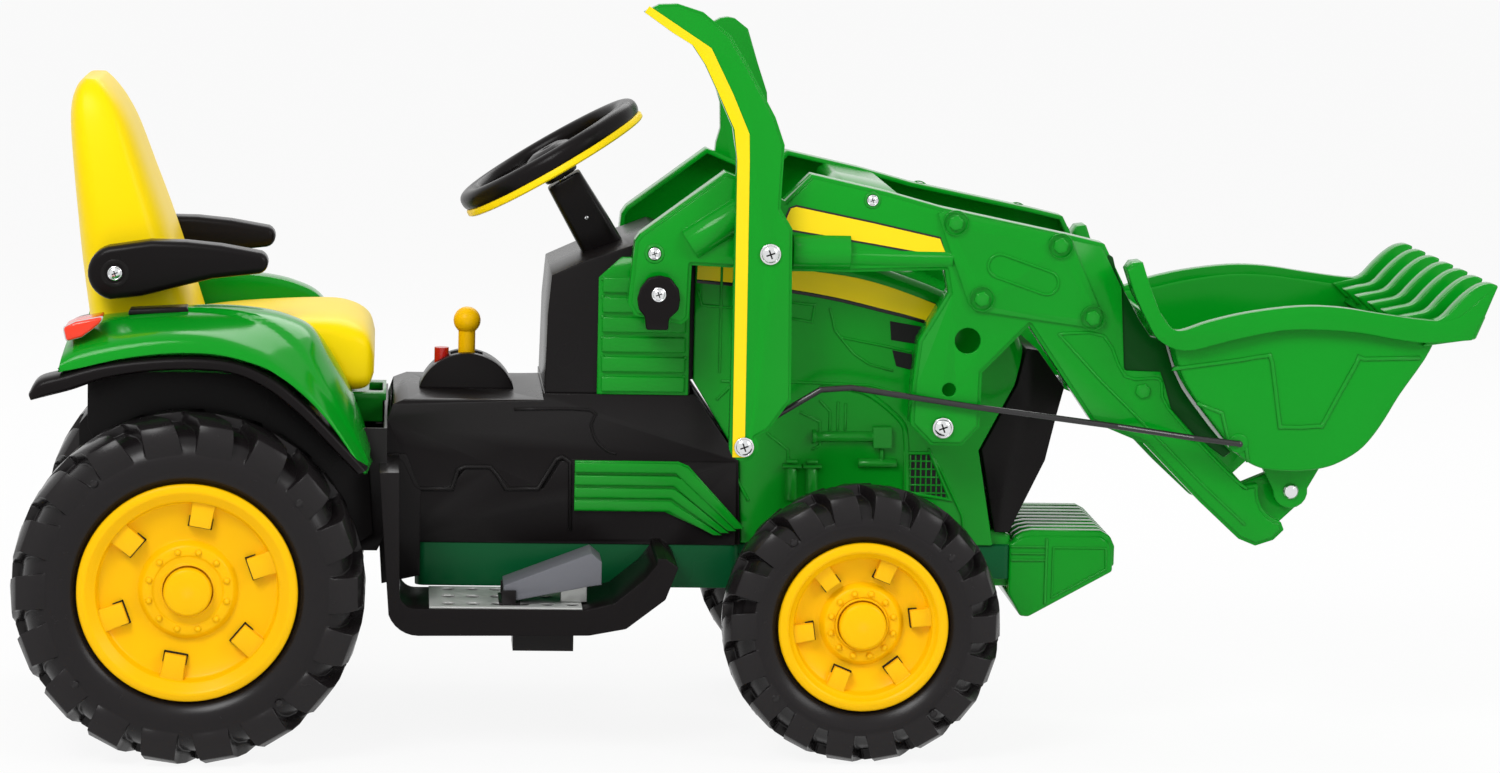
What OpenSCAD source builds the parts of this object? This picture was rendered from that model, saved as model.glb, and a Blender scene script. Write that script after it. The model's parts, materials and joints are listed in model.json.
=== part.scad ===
/* [Wheels] */
// Radius of the rear tyres over the lugs
rear_tyre_r = 198.5; // [185:0.5:210]
// Width of the rear tyres
rear_tyre_w = 112; // [90:1:125]
// Radius of the front tyres over the lugs
front_tyre_r = 160; // [150:0.5:168]
// Width of the front tyres
front_tyre_w = 82; // [66:1:96]
// Radius of the rear rims
rear_rim_r = 123; // [110:1:130]
// Radius of the front rims
front_rim_r = 97; // [85:1:104]
// Height of the tyre lugs
lug_h = 11; // [6:0.5:14]
// Number of lugs round each side of a tyre
lug_count = 18; // [14:1:22]
// Distance between the outer faces of the rear tyres
rear_track_w = 640; // [620:1:670]
// Distance between the outer faces of the front tyres
front_track_w = 564; // [560:1:600]
// Distance from the rear axle to the front axle
wheelbase = 763; // [750:1:790]
// Diameter of the wheel axles
axle_d = 12; // [8:0.5:14]
// Radius of the hub caps
hub_cap_r = 27; // [22:1:32]

/* [Body] */
// Overall length from the rear tyre to the lip of the bucket
overall_l = 1688; // [1688:1:1700]
// Half width of the console and the tray
console_half_w = 128; // [118:1:132]
// Half width of the tub between the rear wheels
tub_half_w = 198; // [185:1:202]
// Height of the console top above the ground
console_top = 396; // [388:1:402]
// Height of the tray top above the ground
tray_top = 229; // [224:1:236]
// Thickness of the tray
tray_t = 51; // [45:1:56]
// Wall of the moulded shells
shell_t = 4; // [3:0.5:6]
// Half width over the footboards
footboard_half_w = 272; // [255:1:285]
// Thickness of the footboard
footboard_t = 24; // [18:1:28]
// Thickness of the steel foot plates
foot_plate_t = 2; // [1:0.5:3]
// Half width of the engine cover
hood_half_w = 118; // [108:1:122]
// Half width of the front weight
weight_half_w = 116; // [105:1:120]
// Number of plates in the front weight
weight_plates = 9; // [6:1:11]

/* [Seat] */
// Width of the seat back at its foot
seat_w = 268; // [240:1:290]
// Width of the seat back at its top
seat_top_w = 216; // [190:1:236]
// Height of the seat back above the ground
seat_top_z = 757; // [735:1:775]
// Thickness of an armrest, across the tractor
armrest_w = 38; // [30:1:42]
// Radius of the armrest pivot screws
armrest_pin_r = 5; // [4:0.5:7]

/* [Steering] */
// Outer radius of the steering wheel
wheel_r = 118; // [105:1:122]
// Radius of the steering wheel grip
grip_r = 10.5; // [8:0.5:12]
// Diameter of the steering shaft
shaft_d = 12; // [10:0.5:14]
// Lean of the steering column from upright
column_lean = 31; // [29:0.5:33]
// Length of the steering arm on each knuckle
steer_arm_l = 70; // [64:1:76]
// Half distance between the kingpins
kingpin_y = 172; // [166:1:174]

/* [Loader] */
// Distance between the outer faces of the two loader arms
arms_w = 384; // [378:1:388]
// Thickness of a loader arm
arm_t = 40; // [34:1:46]
// Diameter of the steel pins of the loader
pin_d = 10; // [8:0.5:12]
// Thickness of the lever and the lift handle
lever_t = 22; // [16:1:26]
// Diameter of the bucket rod
rod_d = 7; // [5:0.5:8]
// Width of the bucket over its rims
bucket_w = 480; // [450:1:500]
// Wall of the bucket
bucket_wall = 5; // [4:0.5:8]
// Width of the rim flange on each side of the bucket
rim_w = 15; // [10:1:18]
// Number of ribs on the lip of the bucket
lip_ribs = 7; // [5:1:9]
// Width of one lip rib
lip_rib_w = 26; // [18:1:34]

/* [Fits] */
// Radial clearance of a pin in its bore
run_fit = 0.06; // [0.03:0.01:0.1]
// Clearance between a moving piece and its neighbour
side_gap = 0.5; // [0.4:0.1:1]

/* [Hidden] */
$fn = 64;

// Axles, measured from the middle of the tractor's length
rear_x = rear_tyre_r - overall_l / 2;
front_x = rear_x + wheelbase;
rear_axle_z = rear_tyre_r;
front_axle_z = front_tyre_r;
rear_in_y = rear_track_w / 2 - rear_tyre_w;
front_in_y = front_track_w / 2 - front_tyre_w;

// Stations behind and under the seat follow the rear axle, the others follow the front axle
console_x0 = rear_x + 220;
console_x1 = front_x - 363;
tray_bottom = tray_top - tray_t;
foot_z = tray_bottom;
dash_z = 404;

// Steering column: its axis passes through the middle of the steering wheel
wheel_c = [front_x - 354, 665];
column_dir = [sin(column_lean), -cos(column_lean)];
crank_z = 155;
crank_x = wheel_c[0] + (wheel_c[1] - crank_z) * tan(column_lean);
crank_r = steer_arm_l * 0.437;
tie_x = front_x - steer_arm_l;
tie_z = 137;

// Loader: side of the arms, and the pivots seen from the side
arm_out_y = arms_w / 2;
arm_in_y = arm_out_y - arm_t;
pivot_e = [front_x + 94, 379];
pivot_c = [front_x - 112.5, 580];
pivot_d = [front_x - 137.5, 359];
pivot_b = [front_x + 501.5, 310];
rod_end = [front_x + 432.5, 370];
latch_a = [front_x - 235.5, 528];
rod_y = arm_out_y + rod_d / 2 + 4;
lever_y = rod_y + rod_d / 2 + 3.5;
bucket_half_w = bucket_w / 2;
bucket_side_y = bucket_half_w - rim_w;
rod_end_y = bucket_side_y + side_gap;
armrest_y = seat_w / 2 + side_gap;
armrest_c = [rear_x - 90.5, 541];

module right() {
    children();
}

module left() {
    mirror([0, 1, 0]) children();
}

module both() {
    right() children();
    left() children();
}

// A profile drawn in X and Z, thick from y0 to y1 on the right-hand side
module side_slab(y0, y1) {
    translate([0, -y0, 0]) rotate([90, 0, 0]) linear_extrude(y1 - y0) children();
}

// A pin or bore across the tractor on the right-hand side, from y0 to y1
module cross_pin(c, r, y0, y1) {
    translate([c[0], -y0, c[1]]) rotate([90, 0, 0]) cylinder(r = r, h = y1 - y0);
}

// A disc with a rounded edge, as a push cap
module push_cap(c, r, y0, h) {
    translate([c[0], -y0, c[1]]) rotate([90, 0, 0]) rotate_extrude()
        polygon([[0, 0], [r, 0], [r, h * 0.35], [r * 0.8, h * 0.8], [r * 0.45, h], [0, h]]);
}

// A block with its upright edges rounded
module soft_block(x0, x1, y0, y1, z0, z1, r) {
    translate([x0, y0, z0]) linear_extrude(z1 - z0)
        translate([r, r]) offset(r = r) square([x1 - x0 - 2 * r, y1 - y0 - 2 * r]);
}

// Points of an arc in the plane of the profile
function arc(c, r, a0, a1, n = 8) = [for (i = [0:n]) let (a = a0 + (a1 - a0) * i / n)
    [c[0] + r * cos(a), c[1] + r * sin(a)]];

function polar(r, a) = [r * cos(a), r * sin(a)];

// ---------------------------------------------------------------- wheels

// One lug ring: lugs stepped round so that they lean, over a core disc
module lug_slice(tyre_r, bore_r, h, turn) {
    root_r = tyre_r - lug_h - 2;
    half = 360 / lug_count * 0.26;
    linear_extrude(h) difference() {
        union() {
            circle(r = root_r, $fn = 96);
            for (i = [0:lug_count - 1]) rotate(turn + i * 360 / lug_count)
                polygon([polar(root_r - 6, -half * 1.3), polar(tyre_r, -half), polar(tyre_r, 0), polar(tyre_r, half),
                    polar(root_r - 6, half * 1.3)]);
        }
        circle(r = bore_r, $fn = 96);
    }
}

module tyre(tyre_r, w, rim_r) {
    carcass_r = tyre_r - lug_h;
    bead_r = rim_r - 2;
    rotate_extrude($fn = 96) polygon([
        [bead_r, 14], [rim_r + 8, 6], [carcass_r * 0.8, 0], [carcass_r - 14, 7], [carcass_r - 2, 20],
        [carcass_r, w / 2], [carcass_r - 2, w - 20], [carcass_r - 14, w - 7], [carcass_r * 0.8, w],
        [rim_r + 8, w - 6], [bead_r, w - 14]]);
    pitch = 360 / lug_count;
    slice = (w / 2 - 8) / 3;
    for (k = [0:2]) {
        translate([0, 0, 8 + k * slice]) lug_slice(tyre_r - (k == 0 ? 2 : 0), rim_r + 20, slice, k * pitch * 0.16);
        translate([0, 0, w - 8 - (k + 1) * slice])
            lug_slice(tyre_r - (k == 0 ? 2 : 0), rim_r + 20, slice, pitch / 2 - k * pitch * 0.16);
    }
}

module rim(rim_r, w, dish_r, hub_r, bumps) {
    bore_r = axle_d / 2 + run_fit;
    seat_r = rim_r - 2 - side_gap;
    difference() {
        union() {
            rotate_extrude($fn = 96) polygon([
                [bore_r, 10], [hub_cap_r, 10], [hub_cap_r, w - 42], [hub_r + 6, w - 44], [dish_r - 6, w - 36],
                [seat_r - 10, w - 20], [seat_r - 10, 10], [seat_r, 10], [seat_r, w - 13.5],
                [rim_r, w - 11.5], [rim_r, w - 5], [seat_r - 6, w - 2], [dish_r + 6, w - 10], [dish_r, w - 26],
                [hub_r + 8, w - 34], [hub_r, w - 24], [hub_cap_r + 2, w - 22], [hub_cap_r + 2, w - 30], [bore_r, w - 30]]);
            for (i = [0:5]) rotate(i * 60 + 30) translate([dish_r - 14, 0, w - 34])
                linear_extrude(17) polygon([[-9, -9], [16, -13], [16, 13], [-9, 9]]);
            for (i = [0:bumps - 1]) rotate(i * 360 / bumps) translate([hub_r - 5, 0, w - 26]) cylinder(r = 3, h = 5, $fn = 24);
        }
        for (i = [0:5]) rotate(i * 60 + 30) translate([dish_r - 31, -7, w - 60]) cube([6, 14, 60]);
    }
}

module hub_cap(w) {
    translate([0, 0, w - 22]) rotate_extrude()
        polygon([[0, 0.3], [hub_cap_r - 5, 0.3], [hub_cap_r - 5, -8], [hub_cap_r, -8], [hub_cap_r, 10],
            [hub_cap_r - 4, 14], [0, 15]]);
}

// Puts a wheel piece on its axle: outer faces look away from the tractor
module at_wheel(x, z, in_y) {
    translate([x, -in_y, z]) rotate([90, 0, 0]) children();
}

module rear_tyre() {
    color("#26262a") at_wheel(rear_x, rear_axle_z, rear_in_y) tyre(rear_tyre_r, rear_tyre_w, rear_rim_r);
}

module front_tyre() {
    color("#26262a") at_wheel(front_x, front_axle_z, front_in_y) tyre(front_tyre_r, front_tyre_w, front_rim_r);
}

module rear_rim() {
    color("#f5c400") at_wheel(rear_x, rear_axle_z, rear_in_y) rim(rear_rim_r, rear_tyre_w, rear_rim_r * 0.79, 50, 12);
}

module front_rim() {
    color("#f5c400") at_wheel(front_x, front_axle_z, front_in_y)
        rim(front_rim_r, front_tyre_w, front_rim_r * 0.77, 42, 12);
}

module rear_cap() {
    color("#f7c90a") at_wheel(rear_x, rear_axle_z, rear_in_y) hub_cap(rear_tyre_w);
}

module front_cap() {
    color("#f7c90a") at_wheel(front_x, front_axle_z, front_in_y) hub_cap(front_tyre_w);
}

module rear_axle() {
    end_y = rear_track_w / 2 - 23;
    color("#b8bcc0") translate([rear_x, end_y, rear_axle_z]) rotate([90, 0, 0]) cylinder(d = axle_d, h = 2 * end_y);
}

// ---------------------------------------------------------------- lower body

// Side view of the tub under the seat
module tub_profile() {
    polygon([[rear_x - 112, 230], [rear_x + 210, 230], [console_x0, 250], [console_x0, 371],
        [rear_x + 186, 371], [rear_x + 178, 392], [rear_x - 112, 392], [rear_x - 128, 372], [rear_x - 128, 250]]);
}

// Side view of the sump that carries the rear axle
module sump_profile() {
    polygon([[rear_x - 60, 150], [rear_x + 60, 150], [rear_x + 78, 170], [rear_x + 78, 260],
        [rear_x - 78, 260], [rear_x - 78, 170]]);
}

// Side view of the console and the lower front of the dash
module console_profile() {
    polygon([[console_x0, tray_top], [front_x - 132, tray_top], [front_x - 136, 330], [front_x - 187, dash_z],
        [console_x1, dash_z], [console_x1, console_top], [console_x0 + 22, console_top],
        [console_x0 + 6, console_top - 7], [console_x0, console_top - 24]]);
}

// Lower relief with a battlement edge
module relief_profile() {
    low = 293;
    high = 316;
    polygon([[console_x0, tray_top], [front_x - 138, tray_top], [front_x - 138, 326], [front_x - 342, 326],
        [front_x - 362, low], [front_x - 400, low], [front_x - 419, high], [front_x - 452, high],
        [front_x - 470, low], [front_x - 507, low], [front_x - 523, 328], [console_x0, 328]]);
}

// Footboard: a band that drops from the wheel arch, runs under the foot and climbs in front
module footboard_outer() {
    x0 = console_x0 - 6;
    x1 = front_x - 212;
    base = foot_z - 31;
    polygon(concat([[x0 - 2, 331]], arc([x0 + 44, base + 34], 36, 200, 270, 6),
        [[front_x - 312, base], [front_x - 270, base + 8], [front_x - 226, base + 42], [x1, 226],
        [x1 - 14, 236], [x1 - 40, 236], [x1 - 40, 331]]));
}

module footboard_inner() {
    x0 = console_x0 + footboard_t - 10;
    x1 = front_x - 212 - footboard_t;
    floor_z = foot_z - 2;
    polygon(concat([[x0, 332]], arc([x0 + 20, floor_z + 18], 18, 190, 270, 6),
        [[front_x - 318, floor_z], [front_x - 284, floor_z + 8], [front_x - 250, floor_z + 36], [x1, 230],
        [x1 + 2, 332]]));
}

module footboard() {
    side_slab(console_half_w - 1, footboard_half_w) difference() {
        footboard_outer();
        footboard_inner();
        translate([front_x - 262, 236]) square([200, 200]);
    }
}

// Lower body: tub, sump, console and footboards in one moulding
module chassis() {
    color("#242327") chassis_shell();
    color("#242327") gear_cheeks();
}

// Cheeks under the console top, with the bores for the gear lever
module gear_cheeks() {
    difference() {
        for (y = [gear_p[1] - 15, gear_p[1] + 9])
            translate([gear_p[0] - 10, y, console_top - 24]) cube([20, 6, 18]);
        translate([gear_p[0], gear_p[1] + 20, gear_p[2]]) rotate([90, 0, 0]) cylinder(r = 3 + run_fit, h = 40);
    }
}

module chassis_shell() {
    difference() {
        union() {
            side_slab(-tub_half_w, tub_half_w) tub_profile();
            side_slab(-tub_half_w + 4, tub_half_w - 4) sump_profile();
            side_slab(-console_half_w + 3, console_half_w - 3) console_profile();
            side_slab(-console_half_w, console_half_w) relief_profile();
            both() footboard();
        }
        // battery and motor space, open to the seat pan
        translate([rear_x - 112 + shell_t, -tub_half_w + shell_t, 234])
            cube([332 - 2 * shell_t, 2 * (tub_half_w - shell_t), 200]);
        // sump space
        translate([rear_x - 60 + shell_t, -tub_half_w + 8, 156]) cube([120 - 2 * shell_t, 2 * tub_half_w - 16, 80]);
        // console and dash space, open to the tray
        translate([console_x0 + shell_t, -console_half_w + 8, tray_top - 1])
            cube([console_x1 - console_x0 + 20, 2 * console_half_w - 16, console_top - tray_top - 6]);
        translate([console_x1 + 20, -console_half_w + 8, tray_top - 1])
            cube([front_x - 187 - console_x1 - 20, 2 * console_half_w - 16, 404]);
        translate([front_x - 200, -console_half_w + 8, tray_top - 1]) cube([100, 2 * console_half_w - 16, 105]);
        // rear axle bore
        translate([rear_x, tub_half_w + 1, rear_axle_z]) rotate([90, 0, 0])
            cylinder(r = axle_d / 2 + run_fit, h = 2 * tub_half_w + 2);
        column_hole(16);
        // gear lever slot and button hole in the console top
        translate([gear_p[0] - 14, gear_p[1] - 9, console_top - 20]) cube([28, 18, 40]);
        translate([button_c[0], button_c[1], console_top - 20]) cylinder(r = button_r + side_gap, h = 40);
        // pedal opening in the right footboard
        translate([pedal_x0 + 10, -footboard_half_w + 26, foot_z - 60]) cube([70, 66, 90]);
    }
}

// Pedal and controls, placed from the console
pedal_x0 = front_x - 408;
pedal_y0 = footboard_half_w - 84;
pedal_y1 = footboard_half_w - 20;
pedal_c = [pedal_x0 + 6, foot_z + 11];
gear_p = [console_x0 + 92, 0, console_top - 13];
gate_half_w = 27;
gate_r = 58;
gate_h = 41;
stem_r = 10;
ball_r = 16;
button_r = 8.5;
button_c = [gear_p[0] - 29.5, gear_p[1]];
button_top = gear_p[2] + 58;
button_travel = 4;

// Tray that the body stands on, from the console to the front weight
module lower_tray() {
    tray_x0 = console_x0 + footboard_t + 10;
    nose_x = front_x + 186;
    color("#0a5f37") difference() {
        union() {
            soft_block(tray_x0, front_x - 132, -console_half_w + 1, console_half_w - 1, tray_bottom, tray_top, 12);
            soft_block(front_x - 160, nose_x, -hood_half_w + 4, hood_half_w - 4, tray_bottom + 12, tray_top, 6);
        }
        // lightened from below
        translate([tray_x0 + 8, -console_half_w + 9, tray_bottom - 1])
            cube([front_x - 176 - tray_x0, 2 * console_half_w - 18, tray_t - 8]);
        // steering shaft slot
        translate([front_x - 132, -26, tray_bottom - 1]) cube([76, 52, tray_t + 2]);
    }
}

module front_axle_beam() {
    half = kingpin_y - 14;
    color("#2a2a2d") difference() {
        union() {
            translate([front_x - 20, -half, front_axle_z - 14]) cube([40, 2 * half, 28]);
            translate([front_x - 30, -60, front_axle_z + 10]) cube([60, 120, tray_bottom + 12 - front_axle_z - 10]);
            both() for (z = [front_axle_z - 18, front_axle_z + 10])
                translate([front_x, -kingpin_y, z]) union() {
                    cylinder(r = 16, h = 8);
                    translate([-16, 0, 0]) cube([32, 20, 8]);
                }
        }
        both() translate([front_x, -kingpin_y, front_axle_z - 40]) cylinder(r = pin_d / 2 + run_fit, h = 80);
    }
}

// Knuckle: kingpin, stub axle and steering arm in one steel forging
module knuckle() {
    stub_end = front_track_w / 2 - 23;
    boss_h = 20 - 2 * side_gap;
    color("#8d9196") union() {
        translate([front_x, -kingpin_y, front_axle_z - 19]) cylinder(d = pin_d, h = 38);
        translate([front_x, -kingpin_y, front_axle_z - boss_h / 2]) cylinder(r = 11, h = boss_h);
        cross_pin([front_x, front_axle_z], axle_d / 2, kingpin_y, stub_end);
        cross_pin([front_x, front_axle_z], 10, kingpin_y, front_in_y + 9.5);
        translate([tie_x - 7, -kingpin_y - 6, tie_z + 5]) cube([steer_arm_l - 14, 12, 6]);
        translate([front_x - 28, -kingpin_y - 6, tie_z + 5]) cube([8, 12, 18]);
        translate([front_x - 28, -kingpin_y - 6, front_axle_z - 4]) cube([28, 12, 6]);
        translate([tie_x, -kingpin_y, tie_z - 6]) cylinder(d = 7, h = 12);
    }
}

module tie_rod() {
    color("#9ea2a6") difference() {
        union() {
            translate([tie_x, kingpin_y, tie_z]) rotate([90, 0, 0]) cylinder(d = 8, h = 2 * kingpin_y, $fn = 32);
            both() translate([tie_x - 13, -kingpin_y - 9, tie_z - 4]) cube([30, 18, 8]);
            translate([tie_x - 22, -9, tie_z - 4]) cube([44, 18, 8]);
        }
        both() translate([tie_x - 6, -kingpin_y - 3.9, tie_z - 5]) cube([18, 7.8, 11]);
        translate([tie_x - 16, -6, tie_z - 6]) cube([32, 12, 12]);
    }
}

module battery() {
    color("#3b4a5c") union() {
        soft_block(rear_x + 86, rear_x + 206, -60, 60, 234, 330, 4);
        both() translate([rear_x + 100, -40, 330]) cylinder(d = 8, h = 6);
    }
}

module gear_motor() {
    y0 = 116;
    y1 = tub_half_w - 8;
    color("#6a6d70") difference() {
        union() {
            translate([rear_x - 60 + shell_t, -y1, 156]) cube([120 - 2 * shell_t, y1 - y0, 92]);
            cross_pin([rear_x - 14, 272], 24, y0 - 50, y1);
        }
        cross_pin([rear_x, rear_axle_z], axle_d / 2 + run_fit, 0, tub_half_w);
    }
}

// ---------------------------------------------------------------- seat and fenders

// Seat back: slices with a crowned front, narrower towards the top
module seat_slice(z, x_back, x_front, w) {
    translate([0, 0, z]) linear_extrude(1) offset(r = 18) offset(r = -18)
        polygon([[x_back, -w / 2 + 12], [x_back, w / 2 - 12], [x_front - 12, w / 2], [x_front, w / 2 - 26],
            [x_front, -w / 2 + 26], [x_front - 12, -w / 2]]);
}

module seat() {
    back_x = rear_x - 122;
    color("#f6c60a") difference() {
        union() {
            hull($fn = 24) {
                seat_slice(448, back_x, rear_x + 12, seat_w);
                seat_slice(545, back_x - 12, rear_x - 18, seat_w);
                seat_slice(640, back_x - 22, rear_x - 50, (seat_w + seat_top_w) / 2);
                seat_slice(seat_top_z - 44, back_x - 28, rear_x - 78, seat_top_w);
                seat_slice(seat_top_z - 3, back_x - 12, rear_x - 110, seat_top_w - 44);
            }
            side_slab(-seat_w / 2, seat_w / 2) polygon(concat([[rear_x - 60, 420], [rear_x - 60, 470], [rear_x + 30, 482],
                [rear_x + 140, 489]], arc([rear_x + 168, 452], 36, 80, -20, 6),
                arc([rear_x + 184, 412], 14, -10, -100, 4), [[rear_x + 154, 402], [rear_x + 149, 420]]));
        }
        both() cross_pin(armrest_c, armrest_pin_r, seat_w / 2 - 40, seat_w / 2 + 1);
    }
}

// Green pan between the fenders, with the slotted tongue in front of the seat
pan_z = 392.4;
pan_top = 419.4;

module seat_pan() {
    pan_l = 260;
    pan_h = pan_top - pan_z;
    tongue_x0 = rear_x + 140;
    tongue_l = console_x0 - tongue_x0 - 2;
    color("#0b8a2c") difference() {
        union() {
            translate([rear_x - 112, -tub_half_w, pan_z]) cube([pan_l, 2 * tub_half_w, pan_h]);
            translate([tongue_x0, -62, 385]) cube([tongue_l, 124, 8]);
            for (y = [-62, 54]) translate([tongue_x0 + 44, y, 360]) cube([tongue_l - 48, 8, 28]);
        }
        translate([rear_x - 112 + shell_t, -tub_half_w + shell_t, 391])
            cube([pan_l - 2 * shell_t, 2 * (tub_half_w - shell_t), pan_h + 1.4 - shell_t]);
        translate([rear_x + 206, 0, 380]) linear_extrude(20) offset(r = 5) square([6, 60], center = true);
    }
}

// Fender: a crowned shell swept round the wheel, and the raised inner box that meets the seat
fender_r = 272;
fender_out_y = 306;
tail_a = [rear_x - 43, rear_axle_z + 264.7];
tail_b = [rear_x - 172, 441];

fender_in_r = fender_r - 3;

// Crown of the fender across its width, g outside the shell
function fender_crown(g) = [[fender_in_r + 37 + g, tub_half_w + 1], [fender_in_r + 37 + g, fender_out_y - 88],
    [fender_in_r + 29 + g, fender_out_y - 42], [fender_in_r + 8 + g, fender_out_y - 2]];

module fender_shell() {
    translate([rear_x, 0, rear_axle_z]) rotate([90, 0, 0]) rotate([0, 0, 36]) rotate_extrude(angle = 86, $fn = 96)
        polygon(concat(fender_crown(0), [[fender_in_r, fender_out_y], [fender_in_r, fender_out_y - shell_t],
            [fender_in_r + 24, fender_out_y - 44], [fender_in_r + 32, fender_out_y - 88],
            [fender_in_r + 32, tub_half_w + 1]]));
}

module fender() {
    color("#0d9a32") union() {
        difference() {
            fender_shell();
            side_slab(fender_out_y - 60.5, fender_out_y + 1) polygon([tail_a + [0, 0.3], tail_b + [-30, -4.8],
                [tail_b[0] - 30, 380], [tail_a[0], 380]]);
        }
        side_slab(tub_half_w - 36, tub_half_w + 34) difference() {
            polygon([[rear_x - 96, pan_top], [rear_x - 96, 500], [rear_x - 80, 505], [rear_x + 118, 504],
                [rear_x + 132, 498], [rear_x + 190, 410], [rear_x + 206, 372], [rear_x + 190, 372],
                [rear_x + 176, 404], [rear_x + 164, pan_top]]);
            polygon([[rear_x - 92, pan_top - 1], [rear_x - 92, 498], [rear_x + 116, 499], [rear_x + 128, 494],
                [rear_x + 172, 426], [rear_x + 172, pan_top - 1]]);
        }
        side_slab(tub_half_w - 36, tub_half_w - 36 + shell_t)
            polygon([[rear_x - 96, pan_top], [rear_x - 96, 500], [rear_x - 80, 505], [rear_x + 118, 504],
                [rear_x + 132, 498], [rear_x + 164, 447], [rear_x + 164, pan_top]]);
    }
}

// Black lip under the fender, with its tail behind
module fender_trim() {
    in_r = fender_r - 26;
    out_r = fender_r - 3.4;
    y0 = fender_out_y - 60;
    y1 = fender_out_y + 3;
    color("#232226") union() {
        translate([rear_x, 0, rear_axle_z]) rotate([90, 0, 0]) rotate([0, 0, 33]) rotate_extrude(angle = 67, $fn = 96)
            polygon([[in_r + 14, y0], [out_r, y0], [out_r, y1 - 6], [out_r - 5, y1], [in_r + 5, y1], [in_r, y1 - 6],
                [in_r, y1 - 14], [in_r + 14, y1 - 14]]);
        side_slab(y0, y1) polygon([[rear_x - 40, rear_axle_z + 243], tail_a, tail_b, [rear_x - 180, 430], [rear_x - 178, 416], [rear_x - 170, 412]]);
    }
}

module tail_light() {
    color("#d8341c") difference() {
        side_slab(tub_half_w + 34.4, fender_out_y - 10) polygon([[rear_x - 128, 454], [rear_x - 137, 484],
            [rear_x - 132, 500], [rear_x - 112, 508], [rear_x - 97, 510], [rear_x - 94, 496], [rear_x - 100, 466]]);
        translate([rear_x, 0, rear_axle_z]) rotate([90, 0, 0]) rotate_extrude($fn = 96)
            polygon(concat([[0, tub_half_w + 1]], fender_crown(0.3), [[0, fender_out_y - 2]]));
    }
}

// Armrest with its boss for the pivot screw
module armrest() {
    c = armrest_c;
    color("#2b2a2d") difference() {
        side_slab(armrest_y, armrest_y + armrest_w) polygon(concat(arc(c, 31, 100, 262, 12),
            [[c[0] + 110, c[1] - 6]], arc([c[0] + 160, c[1] + 14], 13, -80, 80, 6), [[c[0] + 68, c[1] + 38]]));
        cross_pin(c, armrest_pin_r + run_fit, armrest_y - 1, armrest_y + armrest_w + 1);
        cross_pin(c, 15, armrest_y + armrest_w - 8, armrest_y + armrest_w + 1);
    }
}

// Pivot screws of the armrests, and the screws of the body panels
module body_screws() {
    color("#c9ccd0") both() {
        cross_pin(armrest_c, armrest_pin_r, seat_w / 2 - 38, armrest_y + armrest_w - 7.7);
        push_cap(armrest_c, 10, armrest_y + armrest_w - 7.7, 5);
    }
}

// ---------------------------------------------------------------- pedal and controls

module foot_plate() {
    x0 = console_x0 + footboard_t + 26;
    x1 = front_x - 320;
    y0 = console_half_w + 4;
    y1 = footboard_half_w - 4;
    color("#b9bdc1") difference() {
        translate([x0, -y1, foot_z - 2]) cube([x1 - x0, y1 - y0, foot_plate_t]);
        for (i = [0:6], j = [0:2]) translate([x0 + 22 + i * 28, -y1 + 22 + j * 48, foot_z - 5]) cylinder(r = 8, h = 10, $fn = 32);
    }
}

module pedal_housing() {
    x0 = pedal_x0 + 10;
    color("#2a292c") difference() {
        translate([x0 + side_gap, -footboard_half_w + 26 + side_gap, foot_z - 54])
            cube([70 - 2 * side_gap, 66 - 2 * side_gap, 50]);
        translate([x0 + 5, -footboard_half_w + 31, foot_z - 50]) cube([60, 56, 60]);
    }
    // bracket and pin of the pedal, on the foot plate
    color("#2a292c") union() {
        translate([pedal_x0 - 6, -pedal_y1 - 4, foot_z + 0.3]) cube([24, pedal_y1 - pedal_y0 + 8, 2]);
        for (y = [-pedal_y1 - 4, -pedal_y0 + 0.6])
            translate([pedal_x0 - 3, y, foot_z + 1]) cube([16, 3.4, 16]);
        cross_pin(pedal_c, 2.5, pedal_y0 - 4, pedal_y1 + 4);
    }
}

module pedal() {
    x0 = pedal_x0;
    color("#66686d") difference() {
        side_slab(pedal_y0, pedal_y1) polygon([[x0, foot_z + 8], [x0 - 1, foot_z + 22], [x0 + 98, foot_z + 60],
            [x0 + 110, foot_z + 50], [x0 + 110, foot_z + 24], [x0 + 96, foot_z + 22], [x0 + 8, foot_z + 4]]);
        cross_pin(pedal_c, 2.5 + run_fit, pedal_y0 - 1, pedal_y1 + 1);
    }
}

// Arched gate of the gear lever
module shifter_dome() {
    centre = [gear_p[0], console_top + gate_h - gate_r];
    low = asin((gate_r - gate_h) / gate_r);
    color("#28272a") difference() {
        side_slab(-gate_half_w, gate_half_w) polygon(arc(centre, gate_r, low, 180 - low, 24));
        translate([gear_p[0] - 19, gear_p[1] - stem_r - 2, console_top - 1]) cube([38, 2 * stem_r + 4, gate_h + 2]);
        translate([button_c[0], button_c[1], console_top - 1]) cylinder(r = button_r + side_gap, h = gate_h + 2);
    }
}

module gear_lever() {
    color("#f3c51c") translate(gear_p) union() {
        rotate_extrude($fn = 48) polygon([[0, 0], [7, 0], [7, 13], [stem_r, 22], [stem_r, 80], [0, 80]]);
        translate([0, 0, 90.5]) sphere(r = ball_r, $fn = 48);
        translate([0, 6, 0]) rotate([90, 0, 0]) cylinder(r = 7, h = 12, $fn = 32);
        translate([0, 14, 0]) rotate([90, 0, 0]) cylinder(r = 3, h = 28, $fn = 32);
    }
}

// Push button with the flange that holds it under the console top
module red_button() {
    foot_z = console_top - 7 - 5;
    color("#d02a20") union() {
        translate([button_c[0], button_c[1], foot_z]) cylinder(r = button_r, h = button_top - foot_z, $fn = 48);
        translate([button_c[0], button_c[1], foot_z]) cylinder(r = button_r + button_travel, h = 4, $fn = 48);
    }
}

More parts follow.
